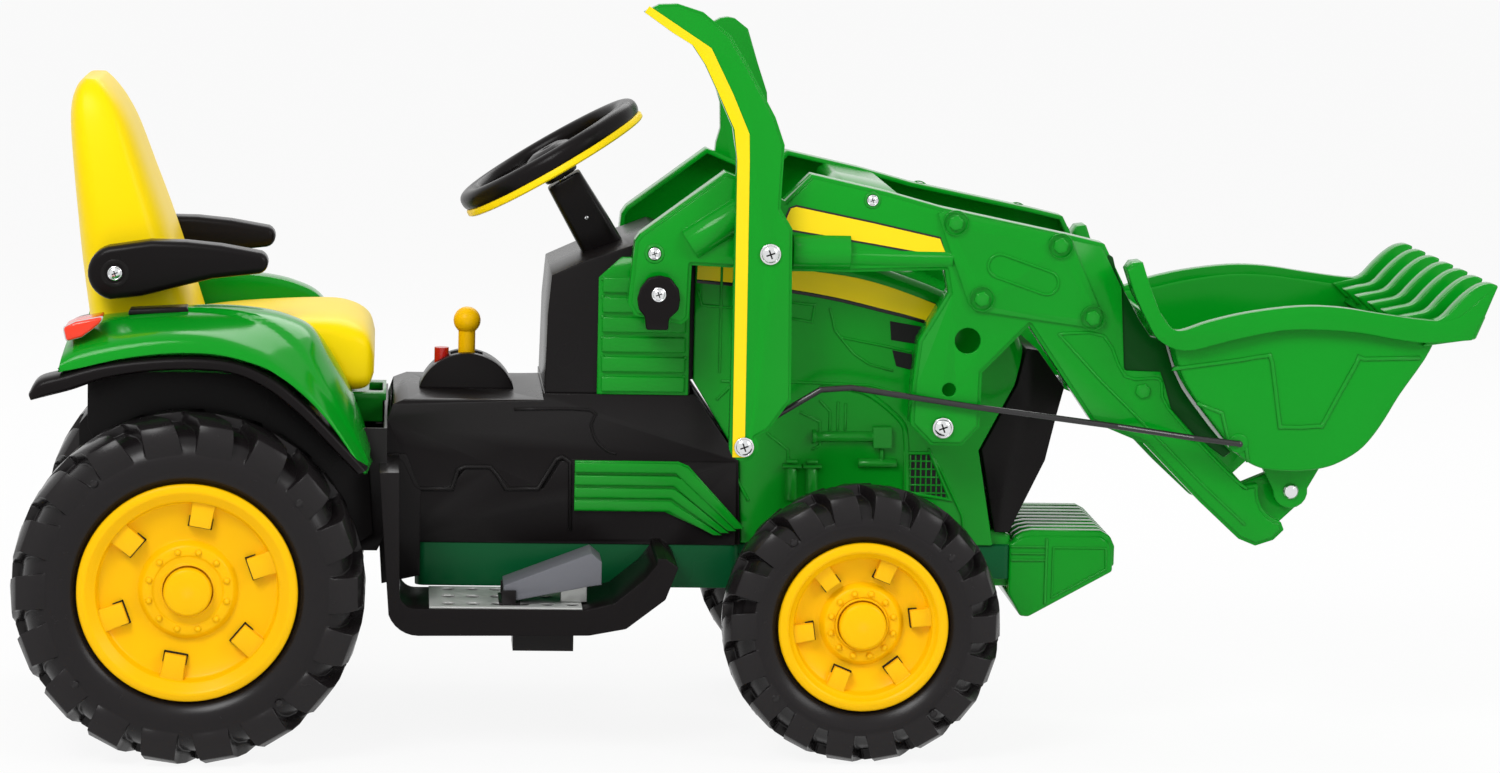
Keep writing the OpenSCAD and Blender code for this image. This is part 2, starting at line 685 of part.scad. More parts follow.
// ---------------------------------------------------------------- dash and engine cover

cowl_half_w = hood_half_w + 4;

// Side view of the cowl, from the height z0 up
module cowl_profile(z0) {
    x0 = console_x1;
    polygon([[x0 + 1, z0], [x0 + 3, 495], [x0 + 7, 541], [x0 + 42, 557], [front_x - 264, 577], [front_x - 236, 588],
        [front_x - 212, 582], [front_x - 194, 558], [front_x - 194, z0]]);
}

module dash_cowl() {
    color("#262529") difference() {
        side_slab(-cowl_half_w, cowl_half_w) cowl_profile(dash_z);
        side_slab(-cowl_half_w + shell_t, cowl_half_w - shell_t) offset(delta = -shell_t) cowl_profile(dash_z - 10);
        column_hole(24);
    }
}

// Space round the steering column
module column_hole(r) {
    translate([wheel_c[0], 0, wheel_c[1]]) rotate([0, 180 - column_lean, 0]) translate([0, 0, 40]) cylinder(r = r, h = 560);
}

module column_cover() {
    color("#2a292c") translate([wheel_c[0], 0, wheel_c[1]]) rotate([0, 180 - column_lean, 0]) difference() {
        rotate_extrude() polygon([[0, 26], [18, 26], [23.6, 90], [23.6, 136], [0, 136]]);
        translate([0, 0, 25]) cylinder(d = shaft_d + 2 * run_fit, h = 112);
    }
}

module steering_shaft() {
    axis_l = (wheel_c[1] - crank_z) / cos(column_lean);
    color("#aeb2b6") translate([wheel_c[0], 0, wheel_c[1]]) rotate([0, 180 - column_lean, 0]) union() {
        translate([0, 0, 2]) cylinder(d = shaft_d, h = axis_l - 14);
        translate([0, -6, axis_l - 20]) cube([crank_r + 4, 12, 8]);
        translate([crank_r, 0, axis_l - 20]) cylinder(d = 7, h = 38);
    }
}

// Steering wheel seen along its axis, z pointing at the driver
module steering_place() {
    translate([wheel_c[0], 0, wheel_c[1]]) rotate([0, -column_lean, 0]) children();
}

module steering_wheel() {
    color("#232226") steering_place() union() {
        rotate_extrude($fn = 96) translate([wheel_r - grip_r, 6]) circle(r = grip_r, $fn = 32);
        difference() {
            rotate_extrude() polygon([[0, -1], [26, -1], [30, 3], [24, 12], [0, 15]]);
            translate([0, 0, -2]) cylinder(d = shaft_d + 0.02, h = 6);
        }
        for (a = [90, 210, 330]) rotate(a) translate([20, -13, -1]) cube([wheel_r - grip_r - 22, 26, 8]);
        translate([0, 0, -22]) difference() {
            cylinder(r = 15, h = 21.5);
            translate([0, 0, -1]) cylinder(d = shaft_d + 0.02, h = 24);
        }
    }
}

module steering_ring() {
    color("#f5c40c") steering_place() rotate_extrude($fn = 96)
        translate([wheel_r - grip_r, 1.7 - grip_r]) polygon([[-8, -1], [8, -1], [9.5, 3.4], [9, 4], [-9, 4], [-9.5, 3.4]]);
}

// Side view of the engine cover; g shrinks it for the inside
module hood_profile(g) {
    polygon([[front_x - 190 + g, 560 - g], [front_x - 190 + g, 420], [front_x - 136 + g, 332],
        [front_x - 131 + g, tray_top + 0.3 - g * 2], [front_x + 166, tray_top + 0.3 - g * 2],
        [front_x + 146 - g, 342], [front_x + 186 - g, 420], [front_x + 196 - g, 466 - g],
        [front_x + 150, 496 - g], [front_x - 20, 544 - g], [front_x - 150, 574 - g], [front_x - 176, 572 - g]]);
}

module hood_solid(g) {
    hw = hood_half_w - g;
    intersection() {
        side_slab(-hw, hw) hood_profile(g);
        rotate([90, 0, 90]) translate([0, 0, front_x - 300]) linear_extrude(600)
            offset(r = 34 - g) offset(r = -34 + g) polygon([[-hw, 100], [-hw, 520], [-hw + 14, 600], [hw - 14, 600],
                [hw, 520], [hw, 100]]);
    }
}

module engine_cover() {
    color("#0b8f2e") difference() {
        union() {
            hood_solid(0);
            both() {
                cross_pin(pivot_e, 20, hood_half_w - 6, arm_in_y - side_gap);
                // engine relief
                side_slab(hood_half_w - 1, hood_half_w + 3) polygon([[front_x - 100, 396], [front_x + 20, 396],
                    [front_x + 78, 360], [front_x + 78, 300], [front_x + 66, 300], [front_x + 66, 352],
                    [front_x + 16, 386], [front_x - 100, 386]]);
                translate([front_x - 50, -hood_half_w, 372]) rotate([0, 90, 0]) cylinder(r = 7, h = 76, $fn = 32);
                translate([front_x + 26, -hood_half_w, 344]) cylinder(r = 6, h = 34, $fn = 32);
                translate([front_x - 4, -hood_half_w, 344]) rotate([0, 90, 0]) cylinder(r = 6, h = 40, $fn = 32);
                for (x = [-76, -52]) translate([front_x + x, -hood_half_w, 290]) cylinder(r = 9, h = 44, $fn = 32);
                for (x = [-76, -52]) translate([front_x + x, -hood_half_w, 326]) cylinder(r = 12, h = 8, $fn = 32);
            }
        }
        hood_solid(shell_t);
        cross_pin(pivot_e, pin_d / 2 + run_fit, -arm_out_y, arm_out_y);
        column_hole(28);
        both() for (p = [[44, 436, 24], [46, 466, 24]])
            side_slab(hood_half_w - 2, hood_half_w + 5) translate([front_x + p[0], p[1]]) square([26, p[2]]);
    }
}

module nose_grille() {
    hw = hood_half_w - 12;
    color("#242327") difference() {
        side_slab(-hw, hw) polygon([[front_x + 150.6, 342], [front_x + 190.6, 419.6], [front_x + 200, 462],
            [front_x + 214, 460], [front_x + 246, 416], [front_x + 238, 384], [front_x + 226, 330],
            [front_x + 194, 262], [front_x + 186, 244], [front_x + 169, 244]]);
        both() cross_lamp(14 + side_gap);
    }
}

// Round lamp recess on the nose
module cross_lamp(r) {
    translate([front_x + 222, -64, 412]) rotate([0, 90, 0]) cylinder(r = r, h = 40);
}

module headlights() {
    color("#d8dde0") both() translate([front_x + 222.3, -64, 412]) rotate([0, 90, 0]) rotate_extrude()
        polygon([[0, 0], [14, 0], [14, 22], [10, 27], [0, 30]]);
}

// Weight built from upright plates side by side
module front_weight() {
    pitch = 2 * weight_half_w / weight_plates;
    z0 = 142;
    color("#0c9231") difference() {
        side_slab(-weight_half_w, weight_half_w) polygon([[front_x + 186.4, tray_bottom + 14], [front_x + 186.4, 243],
            [front_x + 196, 256], [front_x + 202, 274], [front_x + 280, 276], [front_x + 304, 266], [front_x + 314, 246],
            [front_x + 314, 196], [front_x + 230, z0], [front_x + 210, z0], [front_x + 190, 160]]);
        for (i = [1:weight_plates - 1]) translate([front_x + 206, -weight_half_w + i * pitch - 1.5, 262])
            cube([120, 3, 30]);
    }
}

module louvre_panel() {
    z0 = 404;
    x0 = front_x - 302;
    x1 = front_x - 196;
    rows = 6;
    y0 = cowl_half_w + 0.3;
    color("#0c9231") union() {
        side_slab(y0, y0 + 4) polygon([[x0, z0], [x0, 540], [x0 + 26, 564], [x1, 564], [x1, z0]]);
        for (i = [0:rows - 1]) translate([0, 0, z0 + 4 + i * 23]) side_slab(y0 + 3, y0 + 8)
            polygon([[x0 + 5, 0], [x0 + 5, 17], [x1 - 5, 17], [x1 - 5, 0]]);
    }
}

// Stepped panel: four ridges that follow one outline
module step_panel() {
    y0 = console_half_w + 0.3;
    color("#0c9231") union() {
        side_slab(y0, y0 + 4) step_outline(0, 59);
        for (i = [0:3]) side_slab(y0 + 3, y0 + 9 - i) step_outline(i * 15 + 2, 11);
    }
}

module step_outline(drop, h) {
    x0 = front_x - 326;
    top = 327 - drop;
    k = drop * 0.55;
    polygon([[x0, top - h], [x0, top], [front_x - 206 - k * 0.3, top], [front_x - 194 - k * 0.5, top - 5],
        [front_x - 128 - k, 250 - drop * 0.18], [front_x - 128 - k - h * 0.9, 250 - drop * 0.18],
        [front_x - 206 - k * 0.3 - h * 0.25, top - h]]);
}

// ---------------------------------------------------------------- loader

// Outline of a loader arm seen from the side
module arm_outline() {
    f = front_x;
    polygon(concat([[f - 263, 503], [f - 271, 517], [f - 264, 588], [f - 258, 597], [f - 162, 669], [f - 128, 655], [f - 94, 637],
        [f - 64, 668], [f + 24, 649], [f + 88, 632], [f + 235, 603], [f + 275, 594], [f + 300, 545], [f + 306, 452],
        [f + 347, 451], [f + 354, 433], [f + 362, 406], [f + 391, 375], [f + 448, 315], [f + 466, 318]],
        arc(pivot_b, 38, 168, 256, 6), [[f + 496, 264], [f + 484, 252], [f + 463, 245], [f + 443, 253], [f + 398, 294], [f + 329, 363], [f + 267, 388],
        [f + 191, 498], [f + 138, 443], [f + 137, 380], [f + 117, 358], [f + 81, 358], [f + 57, 382], [f + 58, 425],
        [f + 64, 479], [f + 78, 503], [f + 97, 535], [f + 92, 561], [f - 18, 557], [f - 84, 557], [f - 140, 560],
        [f - 199, 562], [f - 201, 501], [f - 209, 494]]));
}

// Ear that carries the bucket, set back behind the lug of the bucket
module ear_outline() {
    f = front_x;
    polygon(concat([[f + 440, 300], [f + 446, 316], [f + 479, 330]], arc(pivot_b, 21, 110, -50, 8),
        [[f + 493, 273], [f + 470, 262]]));
}

// Knee plate, raised on the outer face
module knee_outline() {
    f = front_x;
    polygon([[f + 81, 626], [f + 89, 630], [f + 234, 602], [f + 279, 503], [f + 272, 496], [f + 127, 515], [f + 119, 524]]);
}

knee_bolts = [[102, 613], [222, 590], [134, 527], [265, 509]];

module arm_body() {
    relief = 3;
    difference() {
        union() {
            side_slab(arm_in_y, arm_out_y - relief) offset(r = 2) offset(r = -2) arm_outline();
            side_slab(arm_out_y - relief - 1, arm_out_y) offset(r = -4) arm_outline();
            side_slab(arm_out_y - 1, arm_out_y + 3) knee_outline();
            side_slab(bucket_lug_y0 - 15.5, bucket_lug_y0 - side_gap) ear_outline();
            for (p = knee_bolts) cross_pin([front_x + p[0], p[1]], 6, arm_out_y + 2, arm_out_y + 6, $fn = 6);
            // moulded cylinder under the beam
            translate([front_x - 84, -arm_out_y + 8, 580]) rotate([0, 90, 0]) cylinder(r = 21, h = 66);
            translate([front_x - 20, -arm_out_y + 8, 574]) rotate([0, 90, 0]) cylinder(r = 12, h = 120);
            // moulded cylinder on the rear bracket
            translate([front_x - 202, -arm_out_y + 6, 586]) rotate([0, 57, 0]) cylinder(r = 19, h = 70);
        }
        // open back of the moulding
        side_slab(arm_in_y - 1, arm_out_y - relief - 4) difference() {
            offset(r = -5) arm_outline();
            for (p = [pivot_e, pivot_c, latch_a]) translate(p) circle(r = 17);
        }
        cross_pin(pivot_e, pin_d / 2 + run_fit, arm_in_y - 1, arm_out_y + 10);
        cross_pin(pivot_c, pin_d / 2, arm_in_y - 1, arm_out_y + 10);
        cross_pin(pivot_b, pin_d / 2, arm_in_y - 1, arm_out_y + 10);
        cross_pin(latch_a, 6 + run_fit, arm_in_y - 1, arm_out_y + 10);
        // see-through holes of the leg
        cross_pin([front_x + 120, 480], 15, arm_in_y - 1, arm_out_y + 10);
        cross_pin([front_x + 100, 423], 8, arm_in_y - 1, arm_out_y + 10);
    }
}

module arm_crossmember() {
    color("#1a9a3c") side_slab(-arm_in_y + 0.3, arm_in_y - 0.3) difference() {
        polygon([[front_x - 28, 612], [front_x - 28, 648], [front_x - 18, 655], [front_x + 40, 644], [front_x + 48, 636],
            [front_x + 48, 612]]);
        polygon([[front_x - 24, 611], [front_x - 24, 646], [front_x - 17, 650], [front_x + 38, 640], [front_x + 44, 634],
            [front_x + 44, 611]]);
    }
}

module pivot_rod() {
    end_y = arm_out_y + 2;
    color("#c9ccd0") union() {
        translate([pivot_e[0], end_y, pivot_e[1]]) rotate([90, 0, 0]) cylinder(d = pin_d, h = 2 * end_y);
        both() push_cap(pivot_e, 9, arm_out_y + side_gap, 5);
    }
}

module lever_outline() {
    f = front_x;
    polygon(concat([[f - 261, 851], [f - 244, 860], [f - 223, 861], [f - 194, 852], [f - 163, 827], [f - 142, 793],
        [f - 110, 735], [f - 99, 704], [f - 102, 632], [f - 88, 609], [f - 85, 413], [f - 110, 378]],
        arc(pivot_d, 17, 40, -170, 8),
        [[f - 153, 640], [f - 153, 690], [f - 158, 722], [f - 177, 764], [f - 191, 793], [f - 206, 815], [f - 228, 828]]));
}

module lever() {
    color("#0c8f30") difference() {
        union() {
            side_slab(lever_y, lever_y + lever_t - 2) lever_outline();
            side_slab(lever_y + lever_t - 3, lever_y + lever_t) offset(r = -3) lever_outline();
        }
        cross_pin(pivot_c, pin_d / 2 + run_fit, lever_y - 1, lever_y + lever_t + 1);
        cross_pin(pivot_d, rod_d / 2 + run_fit, lever_y - 1, lever_y + lever_t + 1);
    }
}

module lift_handle() {
    f = front_x;
    color("#0c8f30") left() union() {
        side_slab(lever_y, lever_y + lever_t) polygon(concat(
            [[f - 168, 560], [f - 150, 640], [f - 147, 672], [f - 142, 690], [f - 143, 721], [f - 152, 750]],
            arc([f - 136, 800], 26, 190, 70, 6), [[f - 111, 812], [f - 98, 770], [f - 86, 735], [f - 80, 640],
            [f - 84, 560]]));
        for (z = [582, 622]) cross_pin([f - 112, z], 13, arm_out_y + 0.3, lever_y + 1);
    }
}

// Pins that stay in the arms: lever pivot, spacer and caps, bucket pins, and small screws
module arm_pins() {
    color("#c9ccd0") union() {
        cross_pin(pivot_c, pin_d / 2, arm_in_y + 4, lever_y + lever_t + 1);
        cross_pin(pivot_c, pin_d / 2 + 4, arm_out_y + 0.3, lever_y - side_gap);
        push_cap(pivot_c, 10, lever_y + lever_t + side_gap, 5);
        both() {
            cross_pin(pivot_b, pin_d / 2, arm_in_y + 4, bucket_lug_y1 + 2);
            push_cap(pivot_b, 9, bucket_lug_y1 + side_gap, 5);
            push_cap([front_x + 6, 640], 5, arm_out_y, 3);
            push_cap([front_x - 242, 575], 6, arm_out_y, 3);
        }
    }
}

module bucket_rod() {
    f = front_x;
    y1 = -rod_y;
    y2 = -rod_end_y - 6;
    route = [[f - 137.5, y1, 359], [f - 98, y1, 392], [f - 49, y1, 422], [f - 14, y1, 425], [f + 126, y1, 405],
        [f + 296, y1, 384], [f + 380, y2, 376], [f + 432.5, y2, 370]];
    color("#1d1d20") union() {
        for (i = [0:6]) hull() {
            translate(route[i]) sphere(d = rod_d, $fn = 16);
            translate(route[i + 1]) sphere(d = rod_d, $fn = 16);
        }
    }
    color("#1d1d20") cross_pin(pivot_d, rod_d / 2, rod_y, lever_y + lever_t + 1);
    color("#c9ccd0") push_cap(pivot_d, 9, lever_y + lever_t + side_gap, 5);
    color("#1d1d20") cross_pin(rod_end, rod_d / 2, rod_end_y, rod_end_y + 8);
}

// Points of the bucket, measured from the front axle; what lies ahead of its pins follows the overall length
lip_reach = (overall_l / 2 - pivot_b[0]) / 225;
function ahead(points) = [for (p = points)
    let (past = p[0] - (pivot_b[0] - front_x)) [pivot_b[0] + (past > 0 ? past * lip_reach : past), p[1]]];

// Side view of the bucket body
module bucket_profile() {
    polygon(ahead([[346, 500], [358, 466], [383, 409], [451, 338], [509, 334], [552, 346], [588, 377], [656, 489],
        [664, 512], [520, 520], [397, 508]]));
}

module bucket_cavity() {
    polygon(ahead([[352, 560], [352, 500], [364, 468], [388, 412], [454, 343], [508, 339], [549, 351], [584, 380],
        [650, 489], [690, 560]]));
}

// Rim band along the top edge of a side
module rim_band() {
    polygon(ahead([[325, 488], [345, 480], [373, 480], [440, 499], [506, 504], [568, 502], [632, 492], [702, 496],
        [726, 553], [712, 551], [674, 518], [634, 515], [599, 526], [520, 532], [396, 514], [350, 510], [328, 552],
        [312, 580], [294, 578], [312, 520]]));
}

module rib_profile() {
    polygon(ahead([[640, 492], [702, 497], [726.5, 555], [718.5, 560], [704, 556], [664, 522]]));
}

bucket_lug_y1 = arm_out_y + side_gap;
bucket_lug_y0 = bucket_lug_y1 - 14;

module bucket() {
    pitch = (bucket_w - lip_rib_w) / (lip_ribs - 1);
    color("#0d9a34") difference() {
        union() {
            side_slab(-bucket_side_y, bucket_side_y) bucket_profile();
            both() side_slab(bucket_side_y - 1, bucket_half_w) rim_band();
            // lip floor between the ribs
            side_slab(-bucket_half_w + 1, bucket_half_w - 1)
                polygon(ahead([[640, 486], [702, 496], [716, 530], [708, 532], [696, 504], [648, 497]]));
            for (i = [0:lip_ribs - 1]) side_slab(-bucket_half_w + i * pitch, -bucket_half_w + i * pitch + lip_rib_w)
                rib_profile();
            both() side_slab(bucket_lug_y0, bucket_lug_y1) polygon(concat(ahead([[462, 350], [540, 350]]),
                arc(pivot_b, 20, 10, -170, 8)));
            both() side_slab(bucket_side_y - 1, bucket_side_y + 3)
                polygon(ahead([[467, 462], [480, 394], [530, 392], [580, 462]]));
        }
        side_slab(-bucket_side_y + bucket_wall, bucket_side_y - bucket_wall) bucket_cavity();
        both() cross_pin(pivot_b, pin_d / 2 + run_fit, bucket_lug_y0 - 1, bucket_lug_y1 + 1);
    }
}

module latch_knob() {
    y0 = arm_out_y + side_gap;
    color("#232226") union() {
        side_slab(y0, y0 + 14) polygon(concat(arc(latch_a, 26, -50, 230, 16),
            [[latch_a[0] - 12, latch_a[1] - 44], [latch_a[0] + 12, latch_a[1] - 44]]));
        cross_pin(latch_a, 6, arm_in_y, y0 + 1);
        cross_pin(latch_a, 15, y0 + 13, y0 + 17);
    }
}

chassis();
lower_tray();
dash_cowl();
column_cover();
engine_cover();
nose_grille();
headlights();
front_weight();
both() louvre_panel();  // louvre_panels
both() step_panel();  // step_panels
seat();
seat_pan();
right() fender();  // fender_right
left() fender();  // fender_left
both() fender_trim();  // fender_trims
both() tail_light();  // tail_lights
both() foot_plate();  // foot_plates
battery();
both() gear_motor();  // gear_motors
rear_axle();
front_axle_beam();
shifter_dome();
pedal_housing();
body_screws();
pivot_rod();
pedal();
gear_lever();
red_button();
right() armrest();  // armrest_right
left() armrest();  // armrest_left
steering_wheel();
steering_ring();
steering_shaft();
tie_rod();
right() knuckle();  // knuckle_right
left() knuckle();  // knuckle_left
right() rear_tyre();  // rear_tyre_right
left() rear_tyre();  // rear_tyre_left
right() front_tyre();  // front_tyre_right
left() front_tyre();  // front_tyre_left
right() rear_rim();  // rear_rim_right
left() rear_rim();  // rear_rim_left
right() front_rim();  // front_rim_right
left() front_rim();  // front_rim_left
right() rear_cap();  // rear_cap_right
left() rear_cap();  // rear_cap_left
right() front_cap();  // front_cap_right
left() front_cap();  // front_cap_left
right() color("#0c9231") arm_body();  // arm_right
left() color("#0c9231") arm_body();  // arm_left
arm_crossmember();
lift_handle();
lever();
arm_pins();
bucket_rod();
bucket();
right() latch_knob();  // latch_knob_right
left() latch_knob();  // latch_knob_left
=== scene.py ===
import json
import math
import bpy
import bmesh
from mathutils import Matrix, Vector


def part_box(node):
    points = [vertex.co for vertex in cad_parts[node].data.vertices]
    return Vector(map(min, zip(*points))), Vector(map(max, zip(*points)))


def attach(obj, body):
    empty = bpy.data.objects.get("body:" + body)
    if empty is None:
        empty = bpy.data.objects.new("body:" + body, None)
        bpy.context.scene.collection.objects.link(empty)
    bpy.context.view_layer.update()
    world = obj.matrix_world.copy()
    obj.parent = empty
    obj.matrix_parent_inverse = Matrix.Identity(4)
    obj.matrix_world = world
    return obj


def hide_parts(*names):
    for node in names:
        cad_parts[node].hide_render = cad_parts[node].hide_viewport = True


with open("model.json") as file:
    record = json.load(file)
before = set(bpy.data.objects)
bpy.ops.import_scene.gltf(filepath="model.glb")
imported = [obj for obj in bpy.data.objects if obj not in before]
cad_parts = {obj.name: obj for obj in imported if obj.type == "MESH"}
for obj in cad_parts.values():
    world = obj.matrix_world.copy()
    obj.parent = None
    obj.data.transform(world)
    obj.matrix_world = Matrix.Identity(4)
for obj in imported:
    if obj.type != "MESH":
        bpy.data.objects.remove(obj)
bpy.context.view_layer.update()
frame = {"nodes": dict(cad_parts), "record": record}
joints = {joint["name"]: joint for joint in frame["record"]["behaviour"]["joints"]}
print("frame loaded")

palette = {
    "green": (0.0012, 0.285, 0.012),
    "deepGreen": (0.0008, 0.085, 0.024),
    "seatYellow": (0.97, 0.7, 0.001),
    "yellow": (0.94, 0.52, 0.001),
    "black": (0.0058, 0.0045, 0.0048),
    "tyre": (0.0095, 0.0078, 0.0084),
    "grey": (0.125, 0.128, 0.145),
    "red": (0.55, 0.012, 0.008),
    "steel": (0.62, 0.63, 0.61),
    "chrome": (0.78, 0.79, 0.8),
    "case": (0.05, 0.06, 0.08),
    "paint": (0.014, 0.013, 0.014),
    "clear": (0.9, 0.93, 0.95),
    "lens": (0.85, 0.035, 0.006),
    "border": (0.6, 0.6, 0.6),
    # painted shade: a darker green for the inner boom plates in shadow
    "shade": (0.0006, 0.05, 0.004),
    # painted shade: near black for the inside of slots, vents and recesses
    "inside": (0.004, 0.004, 0.004),
}


# One output of a shader node; arithmetic on it adds Math nodes
class Wire:
    def __init__(self, graph, socket):
        self.graph = graph
        self.socket = socket

    def combine(self, operation, first, second):
        return self.graph.node("ShaderNodeMath", {"operation": operation}, {0: first, 1: second})

    def __add__(self, other):
        return self.combine("ADD", self, other)

    def __radd__(self, other):
        return self.combine("ADD", other, self)

    def __sub__(self, other):
        return self.combine("SUBTRACT", self, other)

    def __rsub__(self, other):
        return self.combine("SUBTRACT", other, self)

    def __mul__(self, other):
        return self.combine("MULTIPLY", self, other)

    def __rmul__(self, other):
        return self.combine("MULTIPLY", other, self)

    def clamp(self, low=0.0, high=1.0):
        return self.combine("MINIMUM", self.combine("MAXIMUM", self, low), high)


class Graph:
    def __init__(self, owner, end="ShaderNodeOutputMaterial"):
        owner.use_nodes = True
        self.owner = owner
        self.tree = owner.node_tree
        self.tree.nodes.clear()
        self.end = self.tree.nodes.new(end)

    def node(self, kind, settings, inputs, output=0):
        made = self.tree.nodes.new(kind)
        for key, value in settings.items():
            setattr(made, key, value)
        for key, value in inputs.items():
            self.feed(made.inputs[key], value)
        return Wire(self, made.outputs[output])

    def feed(self, socket, value):
        if isinstance(value, Wire):
            self.tree.links.new(value.socket, socket)
        elif isinstance(value, (tuple, list)) and socket.type == "RGBA":
            socket.default_value = (*value, 1)
        else:
            socket.default_value = value

    def mix(self, mask, first, second):
        return self.node("ShaderNodeMix", {"data_type": "RGBA"}, {0: mask, 6: first, 7: second}, 2)

    def noise(self, scale, detail=3.0, rough=0.5, place=None):
        inputs = {"Vector": place or self.place(), "Scale": scale, "Detail": detail, "Roughness": rough}
        return self.node("ShaderNodeTexNoise", {}, inputs)

    def place(self):
        return self.node("ShaderNodeTexCoord", {}, {}, "Object")

    def ramp(self, value, low, high):
        inputs = {"Value": value, "From Min": low, "From Max": high}
        return self.node("ShaderNodeMapRange", {"clamp": True}, inputs)

    def finish(self, shader):
        self.tree.links.new(shader.socket, self.end.inputs["Surface"])
        return self.owner


finishes = {
    "edge": 0.0022,  # radius of the rounded edges, in metres
    "grain": 0.00012,
    "unevenness": 0.1,
    # strength of the painted highlight on sharp edges
    "wear": 0.35,
    "wornEdges": (0.53, 0.6),  # pointiness at which the painted edge highlight starts and is full
    "scuffs": (0.62, 0.78),  # noise at which scuffs start and are full
    "brushing": (900.0, 14.0, 900.0),
}


def plastic(name, shade, rough, grain=1.0, edge=1.0, scale=520.0, shine=0.3):
    g = Graph(bpy.data.materials.new(name))
    colour = palette[shade]
    broad = g.noise(5.0)
    fine = g.noise(scale, 2.0)
    scuff = g.ramp(g.noise(38.0, 6.0, 0.7), *finishes["scuffs"])
    point = g.node("ShaderNodeNewGeometry", {}, {}, "Pointiness")
    # Sharp edges are mixed towards a paler colour: a painted highlight along the edges
    edgeHighlight = g.ramp(point, *finishes["wornEdges"]) * finishes["wear"]
    low, high = 1 - finishes["unevenness"], 1 + finishes["unevenness"]
    uneven = g.mix(broad, [c * low for c in colour], [c * high for c in colour])
    pale = [c * 0.9 + 0.03 for c in colour]
    tint = g.mix(edgeHighlight, uneven, pale)
    rounded = g.node("ShaderNodeBevel", {"samples": 4}, {"Radius": finishes["edge"] * edge})
    bump = {"Strength": 0.35 * grain, "Distance": finishes["grain"], "Height": fine, "Normal": rounded}
    inputs = {
        "Base Color": tint,
        "Roughness": (rough + broad * 0.06 - 0.03 + scuff * 0.12).clamp(0.05, 0.95),
        "Specular IOR Level": shine,
        "Normal": g.node("ShaderNodeBump", {}, bump),
    }
    return g.finish(g.node("ShaderNodeBsdfPrincipled", {}, inputs))


def metal(name, shade, rough, brushed=0.0, metallic=1.0):
    g = Graph(bpy.data.materials.new(name))
    colour = palette[shade]
    stretched = g.node("ShaderNodeMapping", {}, {"Vector": g.place(), "Scale": finishes["brushing"]})
    streak = g.noise(1.0, 4.0, 0.6, stretched)
    spots = g.noise(60.0, 5.0)
    rounded = g.node("ShaderNodeBevel", {"samples": 4}, {"Radius": finishes["edge"] * 0.35})
    bump = {"Strength": 0.2 + brushed, "Distance": 0.00006, "Height": streak, "Normal": rounded}
    inputs = {
        "Base Color": g.mix(spots, [c * 0.86 for c in colour], colour),
        "Metallic": metallic,
        "Roughness": (rough + streak * brushed * 0.25 + spots * 0.08).clamp(0.04, 0.9),
        "Normal": g.node("ShaderNodeBump", {}, bump),
    }
    return g.finish(g.node("ShaderNodeBsdfPrincipled", {}, inputs))


def lens(name, shade, clear):
    g = Graph(bpy.data.materials.new(name))
    colour = palette[shade]
    ribs = g.node("ShaderNodeTexWave", {"bands_direction": "Y"}, {"Vector": g.place(), "Scale": 60.0})
    inputs = {
        "Base Color": colour,
        "Roughness": 0.12 + g.noise(30.0) * 0.04,
        "Transmission Weight": clear,
        "IOR": 1.46,
        "Normal": g.node("ShaderNodeBump", {}, {"Strength": 0.25, "Distance": 0.0004, "Height": ribs}),
    }
    return g.finish(g.node("ShaderNodeBsdfPrincipled", {}, inputs))


greenGloss = plastic("green gloss plastic", "green", 0.14, shine=0.16)
deepGreen = plastic("deep green plastic", "deepGreen", 0.28, shine=0.12)
yellowGloss = plastic("yellow gloss plastic", "yellow", 0.3, shine=0.1)
seatYellow = plastic("seat yellow plastic", "seatYellow", 0.34, shine=0.1)
blackSatin = plastic("black satin plastic", "black", 0.28, grain=2.0, shine=0.1)
tyrePlastic = plastic("tyre plastic", "tyre", 0.26, grain=1.6, scale=900.0, shine=0.2)
greyPlastic = plastic("grey plastic", "grey", 0.45, grain=2.0)
redGloss = plastic("red gloss plastic", "red", 0.18, shine=0.5)
yellowFilm = plastic("yellow stripe film", "seatYellow", 0.22, grain=0.2, edge=0.1, shine=0.12)
blackFilm = plastic("black stripe film", "black", 0.25, grain=0.2, edge=0.1)
darkCase = plastic("dark case plastic", "case", 0.5)
steel = metal("zinc plated steel", "steel", 0.3, brushed=0.4, metallic=0.35)
chrome = metal("chrome", "chrome", 0.09)
blackPaint = metal("black painted steel", "paint", 0.22, metallic=0.0)
clearLens = lens("clear lens", "clear", 0.85)
lightLens = lens("red lens", "lens", 0.0)
paleRim = plastic("pale rim plastic", "border", 0.25)
# A darker copy of the green for parts in shadow: painted shade
paintedShadeGreen = plastic("shaded green plastic", "shade", 0.3, shine=0.08)
# Near black standing in for the shade inside slots, vents and recesses: painted shade
paintedShadeBlack = plastic("dark inside", "inside", 0.6, shine=0.1)

slotMaterials = {
    "green_plastic": greenGloss, "dark_green_plastic": deepGreen, "yellow_plastic": yellowGloss,
    "black_plastic": blackSatin, "tyre_plastic": tyrePlastic, "red_plastic": redGloss,
    "light_plastic": lightLens, "lamp_clear": clearLens, "grey_plastic": greyPlastic, "steel": steel,
    "chrome": chrome, "black_steel": blackPaint, "battery_case": darkCase, "motor_case": darkCase,
}

slotOf = {material.name: slot for slot, material in slotMaterials.items()}
slotOf.update({
    seatYellow.name: "yellow_plastic", yellowFilm.name: "yellow_plastic", blackFilm.name: "black_plastic",
    paintedShadeBlack.name: "black_plastic", paleRim.name: "lamp_clear", paintedShadeGreen.name: "green_plastic",
})

